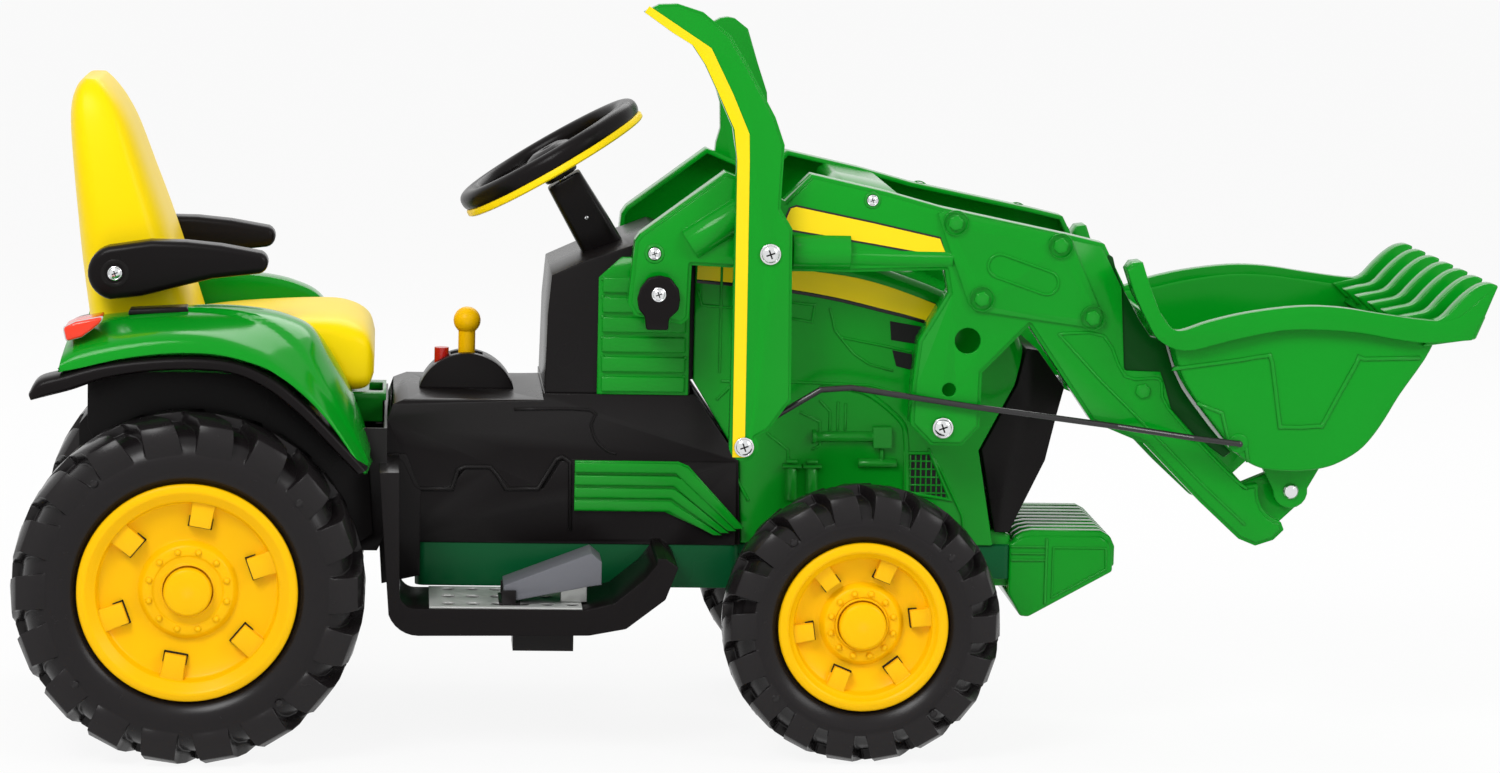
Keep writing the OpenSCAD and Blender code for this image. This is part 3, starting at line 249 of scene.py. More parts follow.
nodeSlots = {part["node"]: part["material_slot"] for part in frame["record"]["subparts"]}
for name, part in frame["nodes"].items():
    part.data.materials.clear()
    part.data.materials.append(slotMaterials[nodeSlots[name]])
bodyOf = {node: body for body, nodes in frame["record"]["behaviour"]["bodies"].items() for node in nodes}
print("materials on the carried-over parts")


def piece(name, mesh, material, body, stands=()):
    mesh.normal_update()
    data = bpy.data.meshes.new(name)
    mesh.to_mesh(data)
    mesh.free()
    made = bpy.data.objects.new(name, data)
    bpy.context.scene.collection.objects.link(made)
    data.materials.append(material)
    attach(made, body)
    if stands:
        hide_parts(*stands)
    return made


def soften(made, width, segments=2, angle=32):
    bevel = made.modifiers.new("edges", "BEVEL")
    bevel.width = width
    bevel.segments = segments
    bevel.limit_method = "ANGLE"
    bevel.angle_limit = math.radians(angle)
    bevel.harden_normals = False
    settle(made)


def settle(made, smooth=40):
    view = bpy.context.evaluated_depsgraph_get()
    data = bpy.data.meshes.new_from_object(made.evaluated_get(view))
    made.modifiers.clear()
    made.data = data
    data.shade_smooth()
    data.set_sharp_from_angle(angle=math.radians(smooth))


def loft(mesh, rings, closed=False, capped=True):
    rows = [[mesh.verts.new(point) for point in ring] for ring in rings]
    count = len(rows[0])
    pairs = list(zip(rows, rows[1:] + rows[:1])) if closed else list(zip(rows, rows[1:]))
    for first, second in pairs:
        for i in range(count):
            j = (i + 1) % count
            mesh.faces.new((first[i], first[j], second[j], second[i]))
    if capped and not closed:
        mesh.faces.new(rows[0])
        mesh.faces.new(rows[-1])


def turn(mesh, profile, steps=96):
    rings = []
    for i in range(steps):
        a = 2 * math.pi * i / steps
        rings.append([(r * math.cos(a), r * math.sin(a), z) for r, z in profile])
    loft(mesh, rings, closed=True)


def prism(mesh, outline, y0, y1):
    loft(mesh, [[(x, -y0, z) for x, z in outline], [(x, -y1, z) for x, z in outline]])


# A solid's own mesh with its edges rounded
def dressed(node, width, corners=()):
    source = frame["nodes"][node]
    mesh = bmesh.new()
    mesh.from_mesh(source.data)
    bmesh.ops.remove_doubles(mesh, verts=mesh.verts, dist=0.00002)
    bmesh.ops.dissolve_limit(mesh, angle_limit=math.radians(1.2), verts=mesh.verts, edges=mesh.edges)
    for chosen, radius in corners:
        roundedEdges(mesh, chosen, radius)
    label = node.title().replace("_", "")
    made = piece(label[0].lower() + label[1:], mesh, source.data.materials[0], bodyOf[node], [node])
    soften(made, width, angle=30)


def roundedEdges(mesh, chosen, radius, segments=5):
    edges = [e for e in mesh.edges if chosen((e.verts[0].co + e.verts[1].co) / 2, e.verts[1].co - e.verts[0].co)]
    bmesh.ops.bevel(mesh, geom=edges, offset=radius, segments=segments, profile=0.5, affect="EDGES", clamp_overlap=True)


# Raised line along points of both side faces
def ridge(mesh, points, face, width=0.004, height=0.0014, closed=False):
    count = len(points)
    section = [(-0.5, -0.0004), (-0.32, height * 0.8), (0, height), (0.32, height * 0.8), (0.5, -0.0004)]
    for sign in (1, -1):
        rings = []
        for i, (x, z) in enumerate(points):
            before = points[i - 1] if i or closed else points[i]
            after = points[(i + 1) % count] if i < count - 1 or closed else points[i]
            one = Vector((x - before[0], z - before[1]))
            two = Vector((after[0] - x, after[1] - z))
            one = one.normalized() if one.length else two.normalized()
            two = two.normalized() if two.length else one
            way = (one + two).normalized()
            aside = Vector((-way.y, way.x)) / max(0.5, way.dot(one))
            rings.append([
                (x + aside.x * width * w, -sign * (face + up), z + aside.y * width * w) for w, up in section
            ])
        loft(mesh, rings, closed=closed)


# Smooth curve through rows of numbers
def blended(rows, steps):
    out = []
    last = len(rows) - 1
    for i in range(steps + 1):
        t = last * i / steps
        k = min(int(t), last - 1)
        f = t - k
        a, b, c, d = (rows[max(0, min(last, k + o))] for o in (-1, 0, 1, 2))
        out.append([
            0.5 * (2 * q + (r - p) * f + (2 * p - 5 * q + 4 * r - u) * f * f + (3 * q - p - 3 * r + u) * f ** 3)
            for p, q, r, u in zip(a, b, c, d)
        ])
    return out


def curved(points, steps=6):
    return [tuple(p) for p in blended(points, steps * (len(points) - 1))]


def arc(x, z, radius, angles):
    return [(x + radius * math.cos(math.radians(a)), z + radius * math.sin(math.radians(a))) for a in angles]


def oval(middle1, half1, middle2, half2, power, count=48):
    ring = []
    for i in range(count):
        a = 2 * math.pi * i / count
        c, s = math.cos(a), math.sin(a)
        u = math.copysign(abs(c) ** (2 / power), c)
        v = math.copysign(abs(s) ** (2 / power), s)
        ring.append((middle1 + half1 * u, middle2 + half2 * v))
    return ring


# An open line moved to its side, or a closed outline made larger
def offset(points, amount, closed=False):
    out = []
    last = len(points) - 1
    for i, (x, z) in enumerate(points):
        before = points[i - 1] if i or closed else points[0]
        after = points[(i + 1) % len(points)] if i < last or closed else points[last]
        way = Vector((after[0] - before[0], after[1] - before[1])).normalized()
        out.append((x - way.y * amount, z + way.x * amount))
    return out


def merge(mesh, other):
    data = bpy.data.meshes.new("part")
    other.to_mesh(data)
    other.free()
    mesh.from_mesh(data)
    bpy.data.meshes.remove(data)


# Solid of revolution about an axis across the tractor, on the side faces
def across(mesh, x, z, face, profile, sides=(1, -1), steps=32, start=0.0):
    for sign in sides:
        part = bmesh.new()
        turn(part, profile, steps)
        for v in part.verts:
            a, b, c = v.co
            p, q = a * math.cos(start) - b * math.sin(start), a * math.sin(start) + b * math.cos(start)
            v.co = (x + p, -sign * (face + c), z + q)
        merge(mesh, part)


# Plate between two distances from the middle plane, on the right (1) and left (-1) sides
def plate(mesh, outline, y0, y1, sides=(1, -1)):
    for sign in sides:
        part = bmesh.new()
        prism(part, outline, y0 * sign, y1 * sign)
        merge(mesh, part)


def finished(name, mesh, material, body, stands=(), width=0.0, segments=2, angle=32):
    bmesh.ops.recalc_face_normals(mesh, faces=mesh.faces)
    made = piece(name, mesh, material, body, stands)
    if width:
        soften(made, width, segments, angle)
    else:
        settle(made)


def lines(name, body, material, group):
    mesh = bmesh.new()
    for face, width, height, points in group:
        ridge(mesh, points, face, width, height)
    bmesh.ops.recalc_face_normals(mesh, faces=mesh.faces)
    piece(name, mesh, material, body).data.shade_smooth()


def wheelPlace(mesh, end, side):
    sign = -1 if side == "right" else 1
    centre = joints[f"{end}_wheel_{side}_spin"]["pos_m"]
    low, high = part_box(f"{end}_tyre_{side}")
    inner = min(abs(low.y), abs(high.y))
    for v in mesh.verts:
        x, y, z = v.co
        v.co = (centre[0] + x, sign * (inner + z), centre[2] + y)
    bmesh.ops.recalc_face_normals(mesh, faces=mesh.faces)


tyreShape = {
    "lugs": 18,
    "lugHeight": 0.011,
    "lean": 0.4,  # how far a lug leans, in shares of the pitch
    "lugShare": 0.27,
    "edge": 0.0022,
    # profile, as how far below the carcass or rim radius and how far in from the sidewall
    "shoulder": [(0.002, 0.036), (0.006, 0.024), (0.013, 0.0145), (0.021, 0.0075)],
    "bead": [(-0.016, 0.0024), (-0.009, 0.0052), (-0.004, 0.0095), (0, 0.0145), (0.001, 0.02)],
    # lug, as top below the tread and in, foot below the carcass and in, lean and width
    "lug": [
        (0.0006, 0.03, 0.008, 0.036, 0.55, 1.0), (0.0022, 0.016, 0.014, 0.024, 0.22, 1.02),
        (0.008, 0.005, 0.022, 0.016, 0.06, 1.05), (0.018, 0.0008, 0.03, 0.012, 0.0, 1.15),
        (0.033, 0.0006, 0.04, 0.01, -0.05, 1.28), (0.04, 0.003, 0.044, 0.012, -0.05, 1.28),
    ],
    "lugFoot": 1.22,  # width of the foot against the top
    "marks": 4,
    "markRadius": 0.86,  # against the carcass
}


def tyre(end, side):
    t = tyreShape
    name = f"{end}_tyre_{side}"
    low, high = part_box(name)
    radius = (high.x - low.x) / 2
    width = high.y - low.y
    middle = width / 2
    rimLow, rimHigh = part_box(f"{end}_rim_{side}")
    inside = (rimHigh.x - rimLow.x) / 2
    carcass = radius - t["lugHeight"]
    half = [(carcass, 0.0)] + [(carcass - r, middle - z) for r, z in t["shoulder"]]
    half += [(carcass * 0.84, middle - 0.0028), (carcass * 0.79, middle - 0.0008)]
    half += [(inside - r, middle - z) for r, z in t["bead"]]
    mesh = bmesh.new()
    turn(mesh, [(r, middle + z) for r, z in half] + [(r, middle - z) for r, z in reversed(half[1:])], 120)
    pitch = 2 * math.pi / t["lugs"]
    stations = [(radius, -0.003, carcass - 0.006, -0.003, 1.0, 0.92)]
    for top, topIn, low, lowIn, lean, wide in t["lug"]:
        stations.append((radius - top, middle - topIn, carcass - low, middle - lowIn, lean, wide))
    for mirror in (1, -1):
        for i in range(t["lugs"]):
            rings = []
            for topR, topZ, footR, footZ, lean, wide in stations:
                a = pitch * (i + (0.5 if mirror < 0 else 0)) + lean * t["lean"] * pitch
                spread = pitch * t["lugShare"] * wide
                foot = t["lugFoot"]
                corners = [(footR, footZ, -foot), (topR, topZ, -1), (topR, topZ, 1), (footR, footZ, foot)]
                rings.append([
                    (r * math.cos(a + w * spread), r * math.sin(a + w * spread), middle + mirror * z)
                    for r, z, w in corners
                ])
            loft(mesh, rings)
    for i in range(t["marks"]):
        a = math.radians(40 + 90 * i)
        disc = [(0.0045, width - 0.0012), (0.0042, width - 0.0002), (0.0, width - 0.0002), (0.0, width - 0.003)]
        mark = bmesh.new()
        turn(mark, disc, 20)
        reach = carcass * t["markRadius"]
        for v in mark.verts:
            v.co += Vector((reach * math.cos(a), reach * math.sin(a), 0))
        merge(mesh, mark)
    wheelPlace(mesh, end, side)
    made = piece(f"{end}TyreTread{side.title()}", mesh, tyrePlastic, f"{end}_wheel_{side}", [name])
    soften(made, t["edge"])


rimShape = {
    "pads": 6,
    "padAngle": {"rear": 20, "front": 8},
    "bumps": 12,
    "edge": 0.0013,
    "dish": {"rear": 0.79, "front": 0.77},  # against the rim radius
    "hub": {"rear": 0.05, "front": 0.042},
    "size": {"rear": 1.0, "front": 0.8},
    "slot": (-0.0132, -0.001, 0.0136),  # inner end, outer end and half width
    "dome": (15, 40, 65),
    "tab": [(-0.012, -0.0125), (0.006, -0.013), (0.022, -0.0145), (0.022, 0.0145), (0.006, 0.013), (-0.012, 0.0125)],
}


def rim(end, side):
    names = [f"{end}_rim_{side}", f"{end}_cap_{side}"]
    low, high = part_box(names[0])
    tyreLow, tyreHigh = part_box(f"{end}_tyre_{side}")
    r = (high.x - low.x) / 2
    w = tyreHigh.y - tyreLow.y
    bead = r - 0.0025
    dish = r * rimShape["dish"][end]
    hub = rimShape["hub"][end]
    cap = (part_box(names[1])[1].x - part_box(names[1])[0].x) / 2
    profile = [
        (0.0061, 0.01), (cap, 0.01), (cap, w - 0.042), (hub + 0.006, w - 0.044), (dish - 0.006, w - 0.036),
        (bead - 0.01, w - 0.02), (bead - 0.01, 0.01), (bead, 0.01), (bead, w - 0.0135), (r, w - 0.0115),
        (r, w - 0.0065), (r - 0.0015, w - 0.0048), (bead - 0.004, w - 0.0034), (bead - 0.0065, w - 0.0034),
        (bead - 0.009, w - 0.005), (dish + 0.008, w - 0.0105), (dish + 0.005, w - 0.0125),
        (dish + 0.003, w - 0.024), (dish, w - 0.0262), (hub + 0.01, w - 0.0335), (hub + 0.006, w - 0.0335),
        (hub + 0.0015, w - 0.0255), (hub - 0.001, w - 0.024), (hub - 0.01, w - 0.0236),
        (hub - 0.0115, w - 0.025), (cap + 0.004, w - 0.025), (cap + 0.0025, w - 0.0225), (cap + 0.0012, w - 0.0225),
        (cap + 0.001, w - 0.03), (0.0061, w - 0.03),
    ]
    mesh = bmesh.new()
    turn(mesh, profile, 120)
    start = rimShape["padAngle"][end]
    size = rimShape["size"][end]
    tab = rimShape["tab"]
    for i in range(rimShape["pads"]):
        a = math.radians(start + 360 / rimShape["pads"] * i)
        block = bmesh.new()
        rings = [
            [(dish - 0.012 * size + u * k * size, v * k * size, z) for u, v in tab]
            for z, k in ((w - 0.034, 1.0), (w - 0.0175, 0.95))
        ]
        loft(block, rings)
        merge(mesh, spun(block, a))
    for i in range(rimShape["bumps"]):
        a = 2 * math.pi * (i + 0.5) / rimShape["bumps"]
        bump = bmesh.new()
        dome = [(0.0, w - 0.026), (0.0036, w - 0.026), (0.0034, w - 0.0215), (0.0022, w - 0.0203), (0.0, w - 0.02)]
        turn(bump, dome, 16)
        for v in bump.verts:
            v.co.x += hub - 0.0052
        merge(mesh, spun(bump, a))
    wheelPlace(mesh, end, side)
    made = piece(f"{end}RimDish{side.title()}", mesh, yellowGloss, f"{end}_wheel_{side}", names[:1])
    soften(made, rimShape["edge"], angle=30)
    # Dark strips along three sides of each pad: painted shadow of the raised pads
    slots = bmesh.new()
    u0, u1, v0 = rimShape["slot"]
    for i in range(rimShape["pads"]):
        a = math.radians(start + 360 / rimShape["pads"] * i)
        for x0, x1, y0, y1 in ((u0, u0 + 0.0011, -v0, v0), (u0, u1, v0 - 0.001, v0), (u0, u1, -v0, 0.001 - v0)):
            line = bmesh.new()
            corners = [(dish + (u - 0.012) * size, v * size) for u, v in ((x0, y0), (x1, y0), (x1, y1), (x0, y1))]
            loft(line, [[(u, v, z) for u, v in corners] for z in (w - 0.036, w - 0.0258)])
            merge(slots, spun(line, a))
    wheelPlace(slots, end, side)
    piece(f"{end}RimSlots{side.title()}", slots, paintedShadeBlack, f"{end}_wheel_{side}")
    lid = bmesh.new()
    dome = [(0.0, w - 0.0217), (cap, w - 0.0217), (cap, w - 0.013), (cap - 0.0012, w - 0.0105)]
    for turned in rimShape["dome"]:
        dome.append((cap * math.cos(math.radians(turned)) * 0.93, w - 0.0105 + 0.003 * math.sin(math.radians(turned))))
    turn(lid, dome + [(0.0, w - 0.0072)], 72)
    wheelPlace(lid, end, side)
    made = piece(f"{end}HubCap{side.title()}", lid, yellowGloss, f"{end}_wheel_{side}", names[1:])
    soften(made, 0.0012)


def spun(mesh, angle):
    bmesh.ops.rotate(mesh, verts=mesh.verts, cent=(0, 0, 0), matrix=Matrix.Rotation(angle, 3, "Z"))
    return mesh


for end in ("rear", "front"):
    for side in ("right", "left"):
        tyre(end, side)
        rim(end, side)
print("wheels")

rearX = joints["rear_wheel_right_spin"]["pos_m"][0]

seatShape = {
    # height, back and front measured from the rear axle, width
    "back": [
        (0.43, -0.118, 0.02, 0.262), (0.47, -0.124, 0.006, 0.268), (0.545, -0.134, -0.018, 0.268),
        (0.6, -0.14, -0.037, 0.256), (0.65, -0.145, -0.056, 0.24), (0.7, -0.149, -0.075, 0.22),
        (0.728, -0.148, -0.09, 0.204), (0.746, -0.142, -0.104, 0.184), (0.755, -0.134, -0.114, 0.16),
    ],
    # distance ahead of the rear axle, underside, top, width
    "cushion": [
        (-0.05, 0.4205, 0.47, 0.25), (0.03, 0.4205, 0.482, 0.264), (0.1, 0.4205, 0.4875, 0.268),
        (0.146, 0.4205, 0.489, 0.268), (0.168, 0.402, 0.4875, 0.266), (0.186, 0.4005, 0.481, 0.26),
        (0.198, 0.406, 0.47, 0.248), (0.2035, 0.42, 0.452, 0.222),
    ],
    "square": (4.2, 5.0),  # how square the sections of the back and the cushion are
    "steps": 28,
    "edge": 0.006,
}


def seat():
    mesh = bmesh.new()
    rings = []
    for z, back, front, wide in blended(seatShape["back"], seatShape["steps"]):
        shape = oval((back + front) / 2, (front - back) / 2, 0, wide / 2, seatShape["square"][0])
        rings.append([(rearX + x, y, z) for x, y in shape])
    loft(mesh, rings)
    rings = []
    for x, under, top, wide in blended(seatShape["cushion"], seatShape["steps"]):
        shape = oval(0, wide / 2, (under + top) / 2, (top - under) / 2, seatShape["square"][1])
        rings.append([(rearX + x, y, z) for y, z in shape])
    loft(mesh, rings)
    finished("seatShell", mesh, seatYellow, "tractor", ["seat"], seatShape["edge"], 3, 50)


seat()

# Places are measured from the pivot
armrestShape = {
    "edge": 0.0075,
    "heel": 0.031,
    "under": [(0.03, -0.0262), (0.07, -0.0155), (0.11, -0.005)],
    "tip": (0.16, 0.014),
    "tipRadius": 0.013,
    "over": [(0.12, 0.0335), (0.08, 0.0372), (0.04, 0.0375)],
    "boss": [(0.0102, 0.0), (0.0165, 0.0), (0.0165, 0.0008), (0.0155, 0.0016), (0.0115, 0.0016), (0.0102, 0.0004)],
}


def armrest(side):
    a = armrestShape
    sign = 1 if side == "right" else -1
    node = f"armrest_{side}"
    low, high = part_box(node)
    inner, outer = sorted((abs(low.y), abs(high.y)))
    cx, _, cz = joints[f"armrest_{side}_flip"]["pos_m"]
    outline = arc(cx, cz, a["heel"], range(104, 263, 12))
    outline += [(cx + x, cz + z) for x, z in a["under"]]
    outline += arc(cx + a["tip"][0], cz + a["tip"][1], a["tipRadius"], range(-78, 79, 18))
    outline += [(cx + x, cz + z) for x, z in a["over"]]
    mesh = bmesh.new()
    prism(mesh, outline, inner * sign, outer * sign)
    finished(f"armrestPad{side.title()}", mesh, blackSatin, node, [node], a["edge"], 4, 45)
    ring = bmesh.new()
    across(ring, cx, cz, outer - 0.0012, a["boss"], (sign,), 48)
    bmesh.ops.recalc_face_normals(ring, faces=ring.faces)
    piece(f"armrestBoss{side.title()}", ring, blackSatin, node)


armrest("right")
armrest("left")
print("seat and armrests")

# Distances of side faces from the middle plane
faces = {
    "arm": 0.192,
    "knee": 0.198,
    "kneeSlot": 0.195,
    "console": 0.128,
    "dash": 0.125,
    "louvre": 0.1265,
    "bucket": 0.225,
}

# Thin films on the arms, the engine cover and the lever, x and z in metres
stripes = {
    "thickness": 0.0006,
    "proud": 0.0001,
    "border": 0.0022,
    "arm": [
        (0.025, 0.617), (0.03, 0.629), (0.036, 0.6312), (0.1211, 0.6145), (0.2021, 0.5972), (0.2107, 0.5764),
        (0.1218, 0.5911), (0.032, 0.605),
    ],
    "lever": [
        (-0.143, 0.851), (-0.11, 0.828), (-0.088, 0.815), (-0.073, 0.793), (-0.059, 0.764), (-0.039, 0.721),
        (-0.035, 0.685), (-0.033, 0.347), (-0.019, 0.347), (-0.021, 0.685), (-0.022, 0.716), (-0.041, 0.76),
        (-0.067, 0.812), (-0.138, 0.858),
    ],
}


def film(name, outline, face, body, material, side=1):
    mesh = bmesh.new()
    prism(mesh, outline, face * side, (face + stripes["thickness"]) * side)
    bmesh.ops.recalc_face_normals(mesh, faces=mesh.faces)
    piece(name, mesh, material, body)


leverFace = -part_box("lever")[0].y
for side, label in ((1, "Right"), (-1, "Left")):
    film(f"armStripe{label}", stripes["arm"], faces["arm"] + stripes["proud"], "arms", yellowFilm, side)
    outline = offset(stripes["arm"], stripes["border"], True)
    film(f"armStripeEdge{label}", outline, faces["arm"] - stripes["proud"], "arms", blackFilm, side)
film("leverStripe", stripes["lever"], leverFace + stripes["proud"], "lever", yellowFilm)
print("stripes")

fenderShape = {
    # each row: lower edge, shoulder and top, as x and z in metres, from the rear to the front
    "rows": [
        (-0.79, 0.4445, -0.7868, 0.46, -0.783, 0.478), (-0.7656, 0.4493, -0.768, 0.47, -0.768, 0.4895),
        (-0.7162, 0.4612, -0.72, 0.4815, -0.722, 0.4968), (-0.6612, 0.4675, -0.665, 0.488, -0.67, 0.501),
        (-0.6115, 0.466, -0.615, 0.4845, -0.618, 0.5035), (-0.5673, 0.4543, -0.569, 0.47, -0.572, 0.5005),
        (-0.545, 0.4423, -0.544, 0.456, -0.539, 0.493), (-0.5227, 0.4257, -0.52, 0.437, -0.511, 0.479),
        (-0.5003, 0.4036, -0.497, 0.413, -0.4885, 0.448), (-0.4778, 0.3757, -0.476, 0.382, -0.47, 0.415),
        (-0.4608, 0.35, -0.459, 0.356, -0.456, 0.38), (-0.4495, 0.334, -0.447, 0.338, -0.444, 0.344),
    ],
    "wall": 0.004,
    "crease": 0.0035,
    "creaseWidth": 0.0035,
    "insetSpan": (0.168, 0.205),
    "steps": 66,
    "lip": (-0.057, 0.003),  # inner and outer edge, from the fender's outer side
    "inset": [(-0.719, 0.4975), (-0.718, 0.503), (-0.653, 0.507), (-0.65, 0.501)],
    "trim": [
        (-0.8224, 0.42, -0.819, 0.4115), (-0.8125, 0.435, -0.801, 0.416), (-0.7874, 0.4427, -0.774, 0.4235),
        (-0.7435, 0.4545, -0.738, 0.436), (-0.6885, 0.4619, -0.686, 0.445), (-0.6335, 0.4638, -0.6335, 0.447),
        (-0.5893, 0.4577, -0.593, 0.442), (-0.5504, 0.4403, -0.559, 0.426), (-0.523, 0.419, -0.533, 0.406),
        (-0.5002, 0.3972, -0.511, 0.386), (-0.4665, 0.3617, -0.479, 0.353), (-0.4462, 0.3394, -0.459, 0.333),
    ],
}


def fender(side):
    f = fenderShape
    sign = 1 if side == "right" else -1
    low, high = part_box(f"fender_{side}")
    inner, outer = sorted((abs(low.y), abs(high.y)))
    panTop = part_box("seat_pan")[1].z
    grid = []
    for k, (lx, lz, mx, mz, tx, tz) in enumerate(blended(f["rows"], f["steps"])):
        t = k / 6
        section = []
        for share1, share2, y in (
            (0, 0, outer), (0.5, 0, outer - 0.0015), (0.86, 0, outer - 0.007), (1, 0.14, outer - 0.019),
            (1, 0.52, outer - 0.046), (1, 0.84, outer - 0.076), (1, 1, outer - 0.106), (1, 1, inner + 0.006),
        ):
            x = lx + (mx - lx) * share1 + (tx - mx) * share2
            z = lz + (mz - lz) * share1 + (tz - mz) * share2
            section.append((y, x, z))
        section += [(inner + 0.001, tx, tz - 0.003), (inner, tx, tz - 0.01)]
        ring = []
        crease = outer - 0.106 + (0.08 * min(1, max(0, (t - 3.2) / 4.6)))
        for y, x, z in blended(section, 54):
            raised = min(1, max(0, (crease - y) / f["creaseWidth"])) * min(1, max(0, (t - 3.0) / 0.15))
            ring.append((x, -sign * y, z + f["crease"] * raised))
        foot = panTop if -0.742 < tx < -0.48 else max(lz, min(panTop, tz - 0.012))
        ring.append((tx, -sign * inner, min(foot, tz - 0.012)))
        grid.append(ring)
    back = [(-0.7885, y, 0.4445) for x, y, z in grid[0]]
    mesh = bmesh.new()
    loft(mesh, [back] + grid, capped=False)
    bmesh.ops.remove_doubles(mesh, verts=mesh.verts, dist=0.00005)
    bmesh.ops.recalc_face_normals(mesh, faces=mesh.faces)
    top = max(mesh.faces, key=lambda face: face.calc_center_median().z)
    if top.normal.z < 0:
        bmesh.ops.reverse_faces(mesh, faces=mesh.faces)
    made = piece(f"fenderShell{side.title()}", mesh, greenGloss, "tractor", [f"fender_{side}"])
    thick = made.modifiers.new("wall", "SOLIDIFY")
    thick.thickness = f["wall"]
    thick.offset = -1
    settle(made, 38)
    trim = bmesh.new()
    rings = []
    near, far = f["lip"]
    for ux, uz, dx, dz in blended(f["trim"], f["steps"]):
        shape = oval((outer + far + outer + near) / 2, (far - near) / 2, 0.5, 0.5, 3.4, 32)
        rings.append([(dx + (ux - dx) * share, -sign * y, dz + (uz - dz) * share) for y, share in shape])
    loft(trim, rings)
    return trim


tailShape = {
    "outline": [
        (-0.7815, 0.4775), (-0.785, 0.4925), (-0.772, 0.499), (-0.7424, 0.505), (-0.744, 0.499), (-0.754, 0.4905),
        (-0.765, 0.4825),
    ],
    "middle": (-0.765, 0.4925),
    "grow": (1.07, 1.09),  # border against lens
    "lens": (0.238, 0.2955),
    "border": (0.285, 0.2915),
    "edges": {"lens": 0.0045, "border": 0.004},
}


def tailLight(side):
    t = tailShape
    sides = (1,) if side == "right" else (-1,)
    (mx, mz), (gx, gz) = t["middle"], t["grow"]
    border = [(mx + (x - mx) * gx, mz + (z - mz) * gz) for x, z in t["outline"]]
    mesh = bmesh.new()
    plate(mesh, t["outline"], *t["lens"], sides)
    finished(f"tailLens{side.title()}", mesh, lightLens, "tractor", [], t["edges"]["lens"], 3)
    edge = bmesh.new()
    plate(edge, border, *t["border"], sides)
    finished(f"tailBorder{side.title()}", edge, paleRim, "tractor", [], t["edges"]["border"], 3)


trims = bmesh.new()
for side in ("right", "left"):
    merge(trims, fender(side))
    tailLight(side)
finished("fenderLip", trims, blackSatin, "tractor", ["fender_trims"])
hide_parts("tail_lights")
shelf = bmesh.new()
plate(shelf, fenderShape["inset"], *fenderShape["insetSpan"])
finished("fenderInset", shelf, blackSatin, "tractor", [], 0.0015)
print("fenders")

